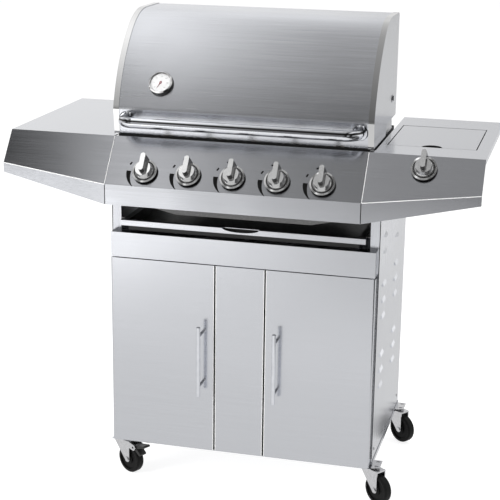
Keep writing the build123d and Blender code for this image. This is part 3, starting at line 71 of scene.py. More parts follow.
# Slanted face of the control panel and shelves, which the knobs turn on
FACE_OUT = joint_axis("burner_1_turn")
FACE_DOWN = Vector((0.0, -FACE_OUT.z, FACE_OUT.y))
FACE_AT = joint_at("burner_1_turn")
FACE_RISE = FACE_DOWN.z / FACE_DOWN.y


def face_height(y):
    """Height of the slanted face at a place from front to back."""
    return FACE_AT.z + (y - FACE_AT.y) * FACE_RISE


PANEL_LOW, PANEL_HIGH = node_box("control_panel")
SHELF_LOW, SHELF_HIGH = node_box("right_shelf")
TOP_Z = PANEL_HIGH.z
TOP_EDGE_Y = FACE_AT.y + (TOP_Z - FACE_AT.z) / FACE_RISE
FOLD_Y = PANEL_LOW.y
FOLD_Z = face_height(FOLD_Y)
STRIP_BOTTOM = PANEL_LOW.z
JOINT_X = (PANEL_HIGH.x + SHELF_LOW.x) / 2
SHELF_X = SHELF_HIGH.x
SHELF_END_Y = -242.5
FOLD_HIGHLIGHT_W, FOLD_IN, FOLD_END_IN = 2.0, 1.0, 0.5
SLANT_HIGHLIGHT_W, SLANT_EDGE_IN = 1.2, 0.9
STRIP_GAP_W, STRIP_GAP_IN = 2.2, 0.2
STRIP_GAP_FROM, STRIP_GAP_TO = STRIP_BOTTOM + 0.5, FOLD_Z - 1.0

# Doors and centre panel
DOOR_LOW = node_box("right_door")[0]
CENTRE_LOW, CENTRE_HIGH = node_box("centre_panel")
DOOR_FACE_Y = DOOR_LOW.y
DOOR_EDGE_X = DOOR_LOW.x
DOOR_GAP = 2.5
CENTRE_EDGE_X = DOOR_EDGE_X - DOOR_GAP
EDGE_BOTTOM = CENTRE_LOW.z + 2.0
EDGE_TOP = CENTRE_HIGH.z - 3.0
# Width and inset of the painted highlights beside the door gaps
HIGHLIGHT_W = 2.0
HIGHLIGHT_IN = 1.7
SHADE_W = 0.7

# Side panels and their louvres
SIDE_LOW, SIDE_HIGH = node_box("right_side_panel")
LOUVRE_L, LOUVRE_H, LOUVRE_OUT = 40.0, 9.0, 4.0
LOUVRE_STEPS = 12
LOUVRE_EDGE = 0.8
LOUVRE_LEAN = 0.9
LOUVRE_SINK = 0.4
UPPER_LOUVRES = ((-62.0, 666.0), (-62.0, 625.0), (128.0, 616.0))
SIDE_X = SIDE_HIGH.x - LOUVRE_OUT
POST_FRONT_Y = SIDE_LOW.y
BACK_Y = SIDE_HIGH.y
LIP_LINE_Z = node_box("base_panel")[1].z + 1.2
LIP_LINE_IN = 2.0
LIP_LINE_W = 2.0
SEAM_IN = 1.2
SEAM_HALF = 1.0
SEAM_TIP = 0.4
SEAM_BOTTOM = 110.0
SEAM_TOP = SIDE_HIGH.z - 10.0
SEAM_SHOULDER = SEAM_TOP - 2.0
SIDE_SCREWS = ((-118.0, 130.0), (250.0, 130.0))
BACK_SCREWS_UP = (128.0, 410.0, 700.0)
BACK_SCREW_X = SIDE_X - 10.0
TRIM_T = 0.1

# Marks round the knobs, and the groove on a knob's skirt as pairs of radius and height
PRINT_SEAT = 0.02
PRINT_T = 0.15
CRESCENT_R = 46.5
CRESCENT_FROM, CRESCENT_SWEEP = 178.0, 60.0
CRESCENT_IN, CRESCENT_TAPER, CRESCENT_POWER = 35.0, 11.0, 1.6
CRESCENT_STEPS = 24
DASH_ANGLES = (152.0, 112.0)
DASH_R = 44.5
DASH_W, DASH_L = 4.0, 8.0
GROOVE = ((25.6, 8.9), (25.6, 9.1), (22.9, 9.64), (22.9, 9.44))
GROOVE_SIDES = 48

# Thermometer
GAUGE_AT = joint_at("needle_turn")
DIAL_OUT = -joint_axis("needle_turn")
DIAL_Z = 5.0
DIAL_R = 25.0
CARD_GAP = 0.4
CARD_HOLE_R = 3.4
CARD_BOTTOM, CARD_TOP = 0.05, 0.3
CARD_SIDES = 64
SCALE_FROM, SCALE_SWEEP = 225.0, 270.0
SCALE_LINES = 30
LINES_PER_NUMBER = 5
LINE_IN = 1.4
LINE_Z, LINE_T = 0.32, 0.06
LONG_LINE, SHORT_LINE = (3.0, 0.22), (1.8, 0.12)
NUMBERS = ("50", "100", "150", "200", "250", "300", "350")
NUMBER_R = 17.2
NUMBER_SIZE = 3.6
NUMBER_Z = 0.36
NUMBER_T = 0.03

# Castors
PLATE_SHIFT = 10.0
PLATE_T = 2.5
PLATE_UNDER = node_box("castor_heads")[1].z - PLATE_T
PLATE_SCREWS = ((-13, -14), (-13, 14), (13, -14), (13, 14))
PLATE_SCREW_R, PLATE_SCREW_H = 4.2, 1.8
AXLE_END = 15.0
AXLE_R = 4.05
NUT_R, NUT_H = 6.6, 2.4
NUT_CHAMFER_R, NUT_CHAMFER_H = 5.9, 1.9
NUT_SIDES = 6
SCREW_SIDES = 18

# Noise of the finishes: its middle range, its scales across and along brushed lines, and bumps in metres
NOISE_LOW, NOISE_HIGH = 0.3, 0.7
FINE, DRAWN = 900.0, 5.0
BRUSH_SCALE = {"x": (DRAWN, FINE, FINE), "y": (FINE, DRAWN, FINE), "z": (FINE, FINE, DRAWN)}
SLOW_SCALE = 4.0
FINE_BUMP = 0.0002
CLOUD_BUMP = 0.0003
LINE_SPREAD = 0.05
# Which faces count as slanted for the painted shade, by the upward part of their normal, and how far
SLANT_SHADE_Z, SLANT_SHADE_REACH = 0.6, 0.3
STRAIGHT, SIDEWAYS = 0.9, 0.5
# Tones of the painted shade in door gaps, of polished rims, and of the painted dark reflection band
GAP_SHADE_TONE, RIM_TONE, REFLECTION_BAND_TONE = 0.02, 0.74, 0.06
RIM_ROUGH = 0.07


def grey(v, blue=0.0):
    """Grey, with a touch of blue if asked for."""
    return (v, v, v + blue)


def steel(v):
    """Grey of steel, a little cool."""
    return (0.975 * v, 0.992 * v, 1.04 * v)


# Node helpers
def feed(tree, value, socket):
    """Give a socket a number, a colour or another socket's value."""
    if isinstance(value, (int, float)):
        socket.default_value = value
    elif isinstance(value, tuple):
        socket.default_value = (*value, 1.0)
    else:
        tree.links.new(value, socket)


def empty_material(name):
    """Node material that holds only its output."""
    mat = bpy.data.materials.new(name)
    mat.use_nodes = True
    tree = mat.node_tree
    tree.nodes.clear()
    return mat, tree, tree.nodes.new("ShaderNodeOutputMaterial")


def new_material(name):
    """Node material with a Principled shader wired to its output."""
    mat, tree, out = empty_material(name)
    shader = tree.nodes.new("ShaderNodeBsdfPrincipled")
    tree.links.new(shader.outputs["BSDF"], out.inputs["Surface"])
    return mat, tree, shader


def math_node(tree, kind, *values):
    """Math node of sockets or numbers."""
    node = tree.nodes.new("ShaderNodeMath")
    node.operation = kind
    for value, socket in zip(values, node.inputs):
        feed(tree, value, socket)
    return node.outputs["Value"]


def grain(tree, scale, detail=3.0):
    """Noise stretched by a scale along each axis of the piece, as a 0 to 1 value."""
    coords = tree.nodes.new("ShaderNodeTexCoord")
    mapping = tree.nodes.new("ShaderNodeMapping")
    mapping.inputs["Scale"].default_value = scale
    noise = tree.nodes.new("ShaderNodeTexNoise")
    noise.inputs["Scale"].default_value = 1.0
    noise.inputs["Detail"].default_value = detail
    noise.inputs["Roughness"].default_value = 0.6
    tree.links.new(coords.outputs["Object"], mapping.inputs["Vector"])
    tree.links.new(mapping.outputs["Vector"], noise.inputs["Vector"])
    return noise.outputs["Fac"]


def even_grain(tree, scale, detail=4.0):
    """Noise of one scale all round."""
    return grain(tree, (scale, scale, scale), detail)


def remap(tree, value, low, high, to_low=0.0, to_high=1.0):
    """Value brought from low and high to two others, and held there."""
    node = tree.nodes.new("ShaderNodeMapRange")
    node.inputs["From Min"].default_value = low
    node.inputs["From Max"].default_value = high
    node.inputs["To Min"].default_value = to_low
    node.inputs["To Max"].default_value = to_high
    tree.links.new(value, node.inputs["Value"])
    return node.outputs["Result"]


def spread(tree, noise, low, high):
    """Noise remapped from its middle range to low and high."""
    return remap(tree, noise, NOISE_LOW, NOISE_HIGH, low, high)


def two_tone(tree, noise, dark, light):
    """Colour that runs from dark to light over the noise's middle range."""
    ramp = tree.nodes.new("ShaderNodeValToRGB")
    for element, place, colour in zip(ramp.color_ramp.elements, (NOISE_LOW, NOISE_HIGH), (dark, light)):
        element.position = place
        element.color = (*colour, 1.0)
    tree.links.new(noise, ramp.inputs["Fac"])
    return ramp.outputs["Color"]


def tone_ramp(tree, value, stops):
    """Tone that follows a 0 to 1 value through stops of place and tone."""
    top = max(tone for _, tone in stops)
    ramp = tree.nodes.new("ShaderNodeValToRGB")
    while len(ramp.color_ramp.elements) < len(stops):
        ramp.color_ramp.elements.new(0.5)
    for element, (place, tone) in zip(ramp.color_ramp.elements, stops):
        element.position = place
        element.color = (*grey(tone / top), 1.0)
    tree.links.new(value, ramp.inputs["Fac"])
    return math_node(tree, "MULTIPLY", ramp.outputs["Color"], top)


def mixed(tree, a, b, share):
    """Value a, moved towards b by a share."""
    node = tree.nodes.new("ShaderNodeMix")
    node.data_type = "FLOAT"
    tree.links.new(share, node.inputs[0])
    feed(tree, a, node.inputs[2])
    feed(tree, b, node.inputs[3])
    return node.outputs[0]


def blended(tree, a, b, share, kind="MIX"):
    """Colour a, moved towards colour b or multiplied by it, by a share."""
    node = tree.nodes.new("ShaderNodeMix")
    node.data_type = "RGBA"
    node.blend_type = kind
    tree.links.new(share, node.inputs[0])
    feed(tree, a, node.inputs[6])
    feed(tree, b, node.inputs[7])
    return node.outputs[2]


def shader_mix(tree, share, a, b):
    """Shader a, moved towards shader b by a share."""
    node = tree.nodes.new("ShaderNodeMixShader")
    tree.links.new(share, node.inputs["Fac"])
    tree.links.new(a, node.inputs[1])
    tree.links.new(b, node.inputs[2])
    return node.outputs["Shader"]


def bumped(tree, shader, value, strength, distance):
    """Bump the shader's normal by a value."""
    bump = tree.nodes.new("ShaderNodeBump")
    bump.inputs["Strength"].default_value = strength
    bump.inputs["Distance"].default_value = distance
    tree.links.new(value, bump.inputs["Height"])
    tree.links.new(bump.outputs["Normal"], shader.inputs["Normal"])


def split_axes(tree, vector):
    """The three parts of a vector, by axis."""
    split = tree.nodes.new("ShaderNodeSeparateXYZ")
    tree.links.new(vector, split.inputs["Vector"])
    return split.outputs


def own_place(tree):
    """Place of the surface in its own piece, by axis, in metres."""
    return split_axes(tree, tree.nodes.new("ShaderNodeTexCoord").outputs["Object"])


def normal(tree):
    """Direction that the surface looks in, by axis."""
    return split_axes(tree, tree.nodes.new("ShaderNodeNewGeometry").outputs["Normal"])


def facing(tree, axis, least):
    """1 where the surface faces along an axis, either way, by more than a least share, or else 0."""
    return math_node(tree, "GREATER_THAN", math_node(tree, "ABSOLUTE", normal(tree)[axis]), least)


def height_over(tree, height):
    """1 above a height of the piece, or else 0."""
    return math_node(tree, "GREATER_THAN", own_place(tree)["Z"], height)


def look_along(tree, out):
    """How far the surface looks along one direction of its own piece, 1 at most."""
    coords = tree.nodes.new("ShaderNodeTexCoord")
    along = tree.nodes.new("ShaderNodeVectorMath")
    along.operation = "DOT_PRODUCT"
    along.inputs[1].default_value = out
    tree.links.new(coords.outputs["Normal"], along.inputs[0])
    return along.outputs["Value"]


# Kinds of finish
def streaked(tree, shader, streak):
    """Draw the shader's reflections out across lines that run along X."""
    tangent = tree.nodes.new("ShaderNodeTangent")
    tangent.direction_type = "RADIAL"
    tangent.axis = "X"
    shader.inputs["Anisotropic"].default_value = streak
    tree.links.new(tangent.outputs["Tangent"], shader.inputs["Tangent"])


def brushed(
    name, dark, light, rough, along,
    bump=0.12, patch=0.03, slant_shade=1.0, rim=False, streak=0.0, front=None, gap=0.0,
):
    """Brushed sheet: fine lines along one axis, slow patches, and painted shade on slanted faces.

    With a rim, faces that don't look sideways are polished. A streak draws reflections out across the lines.
    Faces that look along Y take the tone of front, if there is one: painted shade where it is darker,
    painted light where it is lighter. Side faces nearer to the middle than gap get painted shade, as in a
    narrow gap.
    """
    mat, tree, shader = new_material(name)
    lines = grain(tree, BRUSH_SCALE[along])
    slow = even_grain(tree, SLOW_SCALE, detail=2.0)
    line_gloss = spread(tree, lines, rough - LINE_SPREAD, rough + LINE_SPREAD)
    gloss = math_node(tree, "ADD", line_gloss, spread(tree, slow, -patch, patch))
    colour = two_tone(tree, lines, dark, light)
    # Painted shade: faces that slant up have their colour darkened by the slant tone
    if slant_shade < 1.0:
        slant_shade_mask = math_node(tree, "COMPARE", normal(tree)["Z"], SLANT_SHADE_Z, SLANT_SHADE_REACH)
        colour = blended(tree, colour, grey(slant_shade), slant_shade_mask, "MULTIPLY")
    # Faces that look along Y get the front tone: painted shade when darker, painted light when lighter
    if front:
        colour = blended(tree, colour, front, facing(tree, "Y", STRAIGHT))
    # Painted shade: side faces near the middle are darkened like the shade inside the door gaps
    if gap:
        inner = math_node(tree, "LESS_THAN", math_node(tree, "ABSOLUTE", own_place(tree)["X"]), gap)
        painted_gap_shade = math_node(tree, "MULTIPLY", inner, facing(tree, "X", STRAIGHT))
        colour = blended(tree, colour, grey(GAP_SHADE_TONE), painted_gap_shade)
    if rim:
        flat = facing(tree, "X", SIDEWAYS)
        colour = blended(tree, grey(RIM_TONE), colour, flat)
        gloss = mixed(tree, RIM_ROUGH, gloss, flat)
    if streak:
        streaked(tree, shader, streak)
    shader.inputs["Metallic"].default_value = 1.0
    tree.links.new(colour, shader.inputs["Base Color"])
    tree.links.new(gloss, shader.inputs["Roughness"])
    bumped(tree, shader, lines, bump, FINE_BUMP)
    return mat


def plated(name, dark, light, rough, scale=60.0, reflection_band=None):
    """Plated or polished metal, faintly uneven, with a painted dark reflection band where it tilts up if
    asked for.
    """
    mat, tree, shader = new_material(name)
    cloud = even_grain(tree, scale)
    colour = two_tone(tree, cloud, dark, light)
    if reflection_band:
        # Painted reflection: a dark band by how far the surface tilts up
        colour = blended(tree, colour, grey(REFLECTION_BAND_TONE), tone_ramp(tree, normal(tree)["Z"], reflection_band))
    shader.inputs["Metallic"].default_value = 1.0
    tree.links.new(colour, shader.inputs["Base Color"])
    tree.links.new(spread(tree, cloud, rough - 0.02, rough + 0.03), shader.inputs["Roughness"])
    bumped(tree, shader, cloud, 0.03, CLOUD_BUMP)
    return mat


def coated(name, dark, light, rough, scale=250.0, bump=0.2, gloss=0.5):
    """Paint, rubber or casting: a grained surface that isn't metallic."""
    mat, tree, shader = new_material(name)
    speck = even_grain(tree, scale, detail=5.0)
    tree.links.new(two_tone(tree, speck, dark, light), shader.inputs["Base Color"])
    tree.links.new(spread(tree, speck, rough - 0.06, rough + 0.06), shader.inputs["Roughness"])
    shader.inputs["Specular IOR Level"].default_value = gloss
    bumped(tree, shader, speck, bump, FINE_BUMP)
    return mat


def reflection_ringed(name, out, stops):
    """Chrome with painted reflection rings: its tone follows how far the surface looks along one direction of
    the piece.
    """
    mat, tree, shader = new_material(name)
    cloud = even_grain(tree, 60.0)
    bright = two_tone(tree, cloud, grey(0.88), grey(0.96))
    # Painted reflection: dark and bright rings by the way the surface looks
    rings = tone_ramp(tree, look_along(tree, out), stops)
    shader.inputs["Metallic"].default_value = 0.88
    tree.links.new(blended(tree, grey(0.02), bright, rings), shader.inputs["Base Color"])
    tree.links.new(spread(tree, cloud, 0.04, 0.09), shader.inputs["Roughness"])
    bumped(tree, shader, cloud, 0.03, CLOUD_BUMP)
    return mat


def case_finish(name, out):
    """Thermometer case: bright rim that looks along one direction of the piece, and a black side wall."""
    mat, tree, shader = new_material(name)
    cloud = even_grain(tree, 90.0)
    rim = math_node(tree, "GREATER_THAN", look_along(tree, out), 0.5)
    bright = two_tone(tree, cloud, grey(0.80), grey(0.88))
    black = two_tone(tree, cloud, grey(0.006), grey(0.014))
    gloss = mixed(tree, spread(tree, cloud, 0.3, 0.4), spread(tree, cloud, 0.06, 0.1), rim)
    tree.links.new(blended(tree, black, bright, rim), shader.inputs["Base Color"])
    tree.links.new(rim, shader.inputs["Metallic"])
    tree.links.new(gloss, shader.inputs["Roughness"])
    bumped(tree, shader, cloud, 0.03, FINE_BUMP)
    return mat


def firebox_finish(name, shade_from, bare_from):
    """Heat-proof enamel, with painted black shade from one height up, and bare steel on the hinge ears above
    another.
    """
    mat, tree, shader = new_material(name)
    speck = even_grain(tree, 220.0, detail=5.0)
    lines = grain(tree, BRUSH_SCALE["y"])
    bare = height_over(tree, bare_from)
    enamel = two_tone(tree, speck, grey(0.16), grey(0.24))
    # Painted shade: black from one height up, where the hood shades the front wall
    painted_shade = two_tone(tree, speck, grey(0.008), grey(0.018))
    coat = blended(tree, enamel, painted_shade, height_over(tree, shade_from))
    metal = two_tone(tree, lines, grey(0.58), grey(0.63))
    gloss = mixed(tree, spread(tree, speck, 0.49, 0.61), spread(tree, lines, 0.17, 0.25), bare)
    tree.links.new(blended(tree, coat, metal, bare), shader.inputs["Base Color"])
    tree.links.new(bare, shader.inputs["Metallic"])
    tree.links.new(gloss, shader.inputs["Roughness"])
    bumped(tree, shader, speck, 0.1, FINE_BUMP)
    return mat


def clear_glass(name):
    """Thin clear lens: mostly see-through, with a gloss that grows at the edge."""
    mat, tree, out = empty_material(name)
    see = tree.nodes.new("ShaderNodeBsdfTransparent")
    gloss = tree.nodes.new("ShaderNodeBsdfGlossy")
    edge_highlight = tree.nodes.new("ShaderNodeFresnel")
    edge_highlight.inputs["IOR"].default_value = 1.18
    smear = even_grain(tree, 90.0, detail=3.0)
    tree.links.new(spread(tree, smear, 0.02, 0.06), gloss.inputs["Roughness"])
    tree.links.new(two_tone(tree, smear, grey(0.97), grey(1.0)), see.inputs["Color"])
    lens = shader_mix(tree, edge_highlight.outputs["Fac"], see.outputs["BSDF"], gloss.outputs["BSDF"])
    tree.links.new(lens, out.inputs["Surface"])
    return mat


# Finishes, with stops of place and tone where a finish has bands, and heights in metres
# Handle: stops of the painted dark reflection band, by how far the surface tilts up
HANDLE_REFLECTION_BAND = ((0.0, 0.0), (0.26, 0.0), (0.34, 1.0), (0.58, 1.0), (0.68, 0.0))
KNOB_REFLECTION_RINGS = (
    (0.0, 0.06), (0.2, 0.1), (0.3, 0.95), (0.55, 1.0), (0.66, 0.06), (0.78, 0.06), (0.88, 0.9), (1.0, 1.0),
)
PAINTED_SHADE_FROM = 0.84
GAP_SHADE_REACH = 0.066

STAINLESS_X = brushed("stainless_brushed_x", steel(0.68), steel(0.72), 0.2, "x", bump=0.05)
STAINLESS_Z = brushed("stainless_brushed_z", steel(0.69), steel(0.73), 0.24, "z", bump=0.05)
HOOD_STEEL = brushed("hood_brushed", steel(0.75), steel(0.87), 0.22, "x", bump=0.1, streak=0.7)
# Hood ends: darker copy of the stainless, a painted reflection of the dark shelf tops below them
END_STEEL = brushed("hood_end_brushed", steel(0.52), steel(0.57), 0.2, "z", bump=0.05, rim=True)
# Control panel: painted shade darkens its slanted face
PANEL_STEEL = brushed(
    "panel_brushed", steel(0.66), steel(0.71), 0.2, "x", bump=0.04, slant_shade=0.77, streak=0.75
)
# Left shelf: darker copy of the shelf steel, with painted shade on its slanted face and front strip
SHELF_STEEL = brushed(
    "shelf_brushed", steel(0.64), steel(0.68), 0.12, "x", bump=0.05, slant_shade=0.62, front=steel(0.5)
)
SHELF_STEEL_R = brushed("right_shelf_brushed", steel(0.70), steel(0.75), 0.2, "x", bump=0.05)
# Doors and centre panel: painted shade on their side faces at the door gaps
DOOR_STEEL = brushed("door_brushed", steel(0.68), steel(0.72), 0.2, "x", bump=0.05, gap=GAP_SHADE_REACH)
# Right side panel: its faces that look along Y are painted lighter, painted light on the front post
SIDE_STEEL_R = brushed(
    "right_side_brushed", steel(0.69), steel(0.73), 0.24, "z", bump=0.05, front=steel(0.9)
)
TURNED = brushed("turned_steel", steel(0.58), steel(0.66), 0.24, "x")
BURNER = brushed("heat_stained", (0.40, 0.37, 0.34), (0.56, 0.54, 0.52), 0.36, "y", patch=0.08)
PIPE = brushed("drawn_aluminium", grey(0.58), grey(0.68), 0.32, "x")
PLAIN = brushed("plain_steel", grey(0.50), grey(0.60), 0.34, "y")
POLISHED = plated("polished_steel", steel(0.78), steel(0.86), 0.1)
HANDLE_STEEL = plated("handle_steel", steel(0.82), steel(0.90), 0.1, reflection_band=HANDLE_REFLECTION_BAND)
WIRE = plated("plated_wire", steel(0.72), steel(0.80), 0.16)
ZINC = plated("zinc_plate", grey(0.66, 0.01), grey(0.78, 0.02), 0.24, scale=180.0)
BRASS = plated("machined_brass", (0.55, 0.40, 0.16), (0.68, 0.52, 0.25), 0.24, scale=140.0)
RUBBER = coated("castor_rubber", grey(0.006), grey(0.014), 0.5, scale=300.0, gloss=0.14)
BLACK = coated("black_enamel", grey(0.008), grey(0.022), 0.35, scale=120.0, bump=0.08)
RED = coated("red_enamel", (0.22, 0.002, 0.012), (0.3, 0.004, 0.018), 0.35, scale=400.0, bump=0.05)
CAST = coated("cast_iron", grey(0.018), grey(0.05), 0.6, scale=350.0, bump=0.5)
DARK_IRON = coated("burner_casting", grey(0.05), grey(0.11), 0.6, scale=300.0, bump=0.4)
DIAL_WHITE = coated("dial_white", grey(0.93), grey(0.97), 0.45, scale=500.0, bump=0.02)
FAINT_PRINT = coated("grey_print", grey(0.22), grey(0.30), 0.5, scale=600.0, bump=0.02)
# Painted highlight: a light non-metal for the bright lines on folds and sheet edges
PAINTED_HIGHLIGHT = coated("painted_highlight", grey(0.78), grey(0.9), 0.3, scale=300.0, bump=0.02)
PRINT = coated("black_print", grey(0.004), grey(0.01), 0.5, scale=600.0, bump=0.02, gloss=0.1)
KNOB_CHROME = reflection_ringed("knob_chrome", FACE_OUT, KNOB_REFLECTION_RINGS)
GAUGE_CASE = case_finish("gauge_case", DIAL_OUT)
FIREBOX = firebox_finish("heat_enamel", PAINTED_SHADE_FROM, TOP_Z * MM)
LENS = clear_glass("lens_clear")

# Finish of each CAD node, by the end of its name or else by the whole of it
FINISH_BY_END = {"_spindle": TURNED, "_knob": KNOB_CHROME, "_fork": ZINC, "_wheel": RUBBER, "_brake": BLACK}
FINISH = {
    "base_panel": STAINLESS_X, "left_side_panel": STAINLESS_Z, "right_side_panel": SIDE_STEEL_R,
    "back_panel": STAINLESS_X, "upper_front_panel": STAINLESS_X, "centre_panel": DOOR_STEEL,
    "left_door": DOOR_STEEL, "right_door": DOOR_STEEL, "tray_runners": PLAIN,
    "firebox": FIREBOX, "tube_burners": BURNER, "flame_tamers": BURNER,
    "left_cooking_grate": CAST, "right_cooking_grate": CAST, "warming_rack": WIRE,
    "gas_manifold": PIPE, "gas_valves": BRASS, "control_panel": PANEL_STEEL,
    "left_shelf": SHELF_STEEL, "right_shelf": SHELF_STEEL_R, "side_burner_lid": STAINLESS_X,
    "side_burner_bowl": PLAIN, "side_burner": DARK_IRON, "pan_support": CAST,
    "hood_hinge_pins": ZINC, "castor_heads": ZINC, "hood_skin": HOOD_STEEL,
    "hood_left_end": END_STEEL, "hood_right_end": END_STEEL, "hood_handle": HANDLE_STEEL,
    # The drip tray pan takes the black enamel as painted shade under its stainless lip
    "gauge_case": GAUGE_CASE, "gauge_lens": LENS, "gauge_needle": RED, "drip_tray": BLACK,
    "drip_tray_lip": STAINLESS_X, "left_door_handle": POLISHED, "right_door_handle": POLISHED,
}
for name, obj in NODES.items():
    finish = FINISH.get(name)
    for end, mat in FINISH_BY_END.items():
        if name.endswith(end):
            finish = mat
    obj.data.materials.clear()
    obj.data.materials.append(finish)


# Mesh helpers, in millimetres
def to_object(bm, name, mat, body):
    """Turn a mesh made in millimetres into an object that rides on a body."""
    bmesh.ops.scale(bm, vec=(MM, MM, MM), verts=bm.verts)
    bmesh.ops.recalc_face_normals(bm, faces=bm.faces)
    mesh = bpy.data.meshes.new(name)
    bm.to_mesh(mesh)
    bm.free()
    obj = bpy.data.objects.new(name, mesh)
    bpy.context.scene.collection.objects.link(obj)
    mesh.materials.append(mat)
    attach(obj, body)


def basis(at, out, up=Vector((0, 0, 1))):
    """Matrix with Z along out, Y near up, at a place."""
    z = Vector(out).normalized()
    x = Vector(up).cross(z).normalized()
    m = Matrix((x, z.cross(x), z)).transposed().to_4x4()
    m.translation = Vector(at)
    return m


def polar(r, degrees):
    """Place on a circle."""
    a = math.radians(degrees)
    return (r * math.cos(a), r * math.sin(a))


def turned_by(degrees, r, z=0.0):
    """Matrix that goes out by a radius after a turn, and up."""
    return Matrix.Rotation(math.radians(degrees), 4, "Z") @ Matrix.Translation((r, 0, z))


def bar(x_from, x_to, width):
    """Outline of a bar along X."""
    half = width / 2
    return [(x_from, -half), (x_to, -half), (x_to, half), (x_from, half)]


def plate(bm, outline, thick, matrix):
    """Flat plate of an outline, with its lower face on the plane of a matrix."""
    low = [bm.verts.new(matrix @ Vector((x, y, 0.0))) for x, y in outline]
    high = [bm.verts.new(matrix @ Vector((x, y, thick))) for x, y in outline]
    bm.faces.new(low[::-1])
    bm.faces.new(high)
    for i in range(len(outline)):
        j = (i + 1) % len(outline)
        bm.faces.new((low[i], low[j], high[j], high[i]))


def ribbon(bm, a, b, out, width):
    """Thin ribbon between two places, pointed at both ends, on a face that looks outwards."""
    a, b, z = Vector(a), Vector(b), Vector(out).normalized()
    along = (b - a).normalized()
    m = Matrix((along, z.cross(along), z)).transposed().to_4x4()
    m.translation = a
    end, half = (b - a).length, width / 2
    outline = [(0, 0), (half, -half), (end - half, -half), (end, 0), (end - half, half), (half, half)]
    plate(bm, outline, TRIM_T, m)


def turned(bm, profile, matrix, sides):
    """Surface of revolution round the matrix's Z axis, from pairs of radius and height."""
    rings = []
    for r, h in profile:
        if r == 0:
            rings.append([bm.verts.new(matrix @ Vector((0, 0, h)))])
            continue
        places = [polar(r, 360 * i / sides) for i in range(sides)]
        rings.append([bm.verts.new(matrix @ Vector((x, y, h))) for x, y in places])
    for a, b in zip(rings, rings[1:]):
        for i in range(sides):
            j = (i + 1) % sides
            if len(b) == 1:
                bm.faces.new((a[i], a[j], b[0]))
            else:
                bm.faces.new((a[i], a[j], b[j], b[i]))


def pan_head(bm, matrix, r=4.0, h=2.2):
    """Pan head screw with a round socket in its top."""
    head = [(r, 0), (r, 0.35 * h), (0.82 * r, 0.8 * h), (0.5 * r, h)]
    socket = [(0.4 * r, h), (0.34 * r, 0.4 * h), (0, 0.4 * h)]
    turned(bm, head + socket, matrix, SCREW_SIDES)


# Printed marks round the five burner knobs: a crescent that tapers to a point, and two dashes
def knob_basis(knob):
    """Matrix on the slanted face round a knob: X to the right, Y up the face, Z outwards."""
    return basis(joint_at(f"{knob}_turn") + FACE_OUT * PRINT_SEAT, FACE_OUT, -FACE_DOWN)


outer, inner = [], []
for i in range(CRESCENT_STEPS + 1):
    t = i / CRESCENT_STEPS
    angle = CRESCENT_FROM + CRESCENT_SWEEP * t
    outer.append(polar(CRESCENT_R, angle))
    inner.append(polar(CRESCENT_IN + CRESCENT_TAPER * t ** CRESCENT_POWER, angle))
marks = bmesh.new()
for knob in BURNERS:
    m = knob_basis(knob)
    plate(marks, outer + inner[::-1], PRINT_T, m)
    for angle in DASH_ANGLES:
        plate(marks, bar(-DASH_W / 2, DASH_W / 2, DASH_L), PRINT_T, m @ turned_by(angle, DASH_R))
to_object(marks, "knob_marks", PRINT, "cart")

# Dark groove round the body of each knob, on its flared skirt
for knob in (*BURNERS, "side_burner"):
    groove = bmesh.new()
    turned(groove, GROOVE, knob_basis(knob), GROOVE_SIDES)
    to_object(groove, f"{knob}_groove", BLACK, f"{knob}_knob")

# Thermometer dial: white card with a scale of lines and round numbers
gauge = basis(GAUGE_AT + DIAL_OUT * DIAL_Z, DIAL_OUT)
card = bmesh.new()
card_r = DIAL_R - CARD_GAP
card_ring = [(card_r, CARD_BOTTOM), (card_r, CARD_TOP), (CARD_HOLE_R, CARD_TOP), (CARD_HOLE_R, CARD_BOTTOM)]
turned(card, card_ring, gauge, CARD_SIDES)
to_object(card, "dial_card", DIAL_WHITE, "hood")
lines = bmesh.new()
for i in range(SCALE_LINES + 1):
    length, half = LONG_LINE if i % LINES_PER_NUMBER == 0 else SHORT_LINE
    at = turned_by(SCALE_FROM - SCALE_SWEEP * i / SCALE_LINES, DIAL_R - LINE_IN - length, LINE_Z)
    plate(lines, bar(0, length, 2 * half), LINE_T, gauge @ at)
to_object(lines, "dial_lines", FAINT_PRINT, "hood")


def numeral(text, at, matrix):
    """Number laid on the plane of a matrix, as a mesh."""
    curve = bpy.data.curves.new(f"number_{text}", "FONT")
    curve.body = text
    curve.size = NUMBER_SIZE
    curve.align_x = "CENTER"
    curve.align_y = "CENTER"
    curve.extrude = NUMBER_T
    holder = bpy.data.objects.new(curve.name, curve)
    bpy.context.scene.collection.objects.link(holder)
    bpy.context.view_layer.update()
    graph = bpy.context.evaluated_depsgraph_get()
    mesh = bpy.data.meshes.new_from_object(holder.evaluated_get(graph))
    bpy.data.objects.remove(holder)
    mesh.transform(matrix @ Matrix.Translation((*at, NUMBER_Z)))
    return mesh


numbers = bmesh.new()
for i, text in enumerate(NUMBERS):
    angle = SCALE_FROM - SCALE_SWEEP * i / (len(NUMBERS) - 1)
    mesh = numeral(text, polar(NUMBER_R, angle), gauge)
    numbers.from_mesh(mesh)
    bpy.data.meshes.remove(mesh)
to_object(numbers, "dial_numbers", FAINT_PRINT, "hood")

# Screws of the side panels and the back panel
screws = bmesh.new()
for side in SIDES:
    for y, z in SIDE_SCREWS:
        pan_head(screws, basis((side * SIDE_X, y, z), (side, 0, 0)))
    for z in BACK_SCREWS_UP:
        pan_head(screws, basis((side * BACK_SCREW_X, BACK_Y, z), (0, 1, 0)))
to_object(screws, "panel_screws", ZINC, "cart")

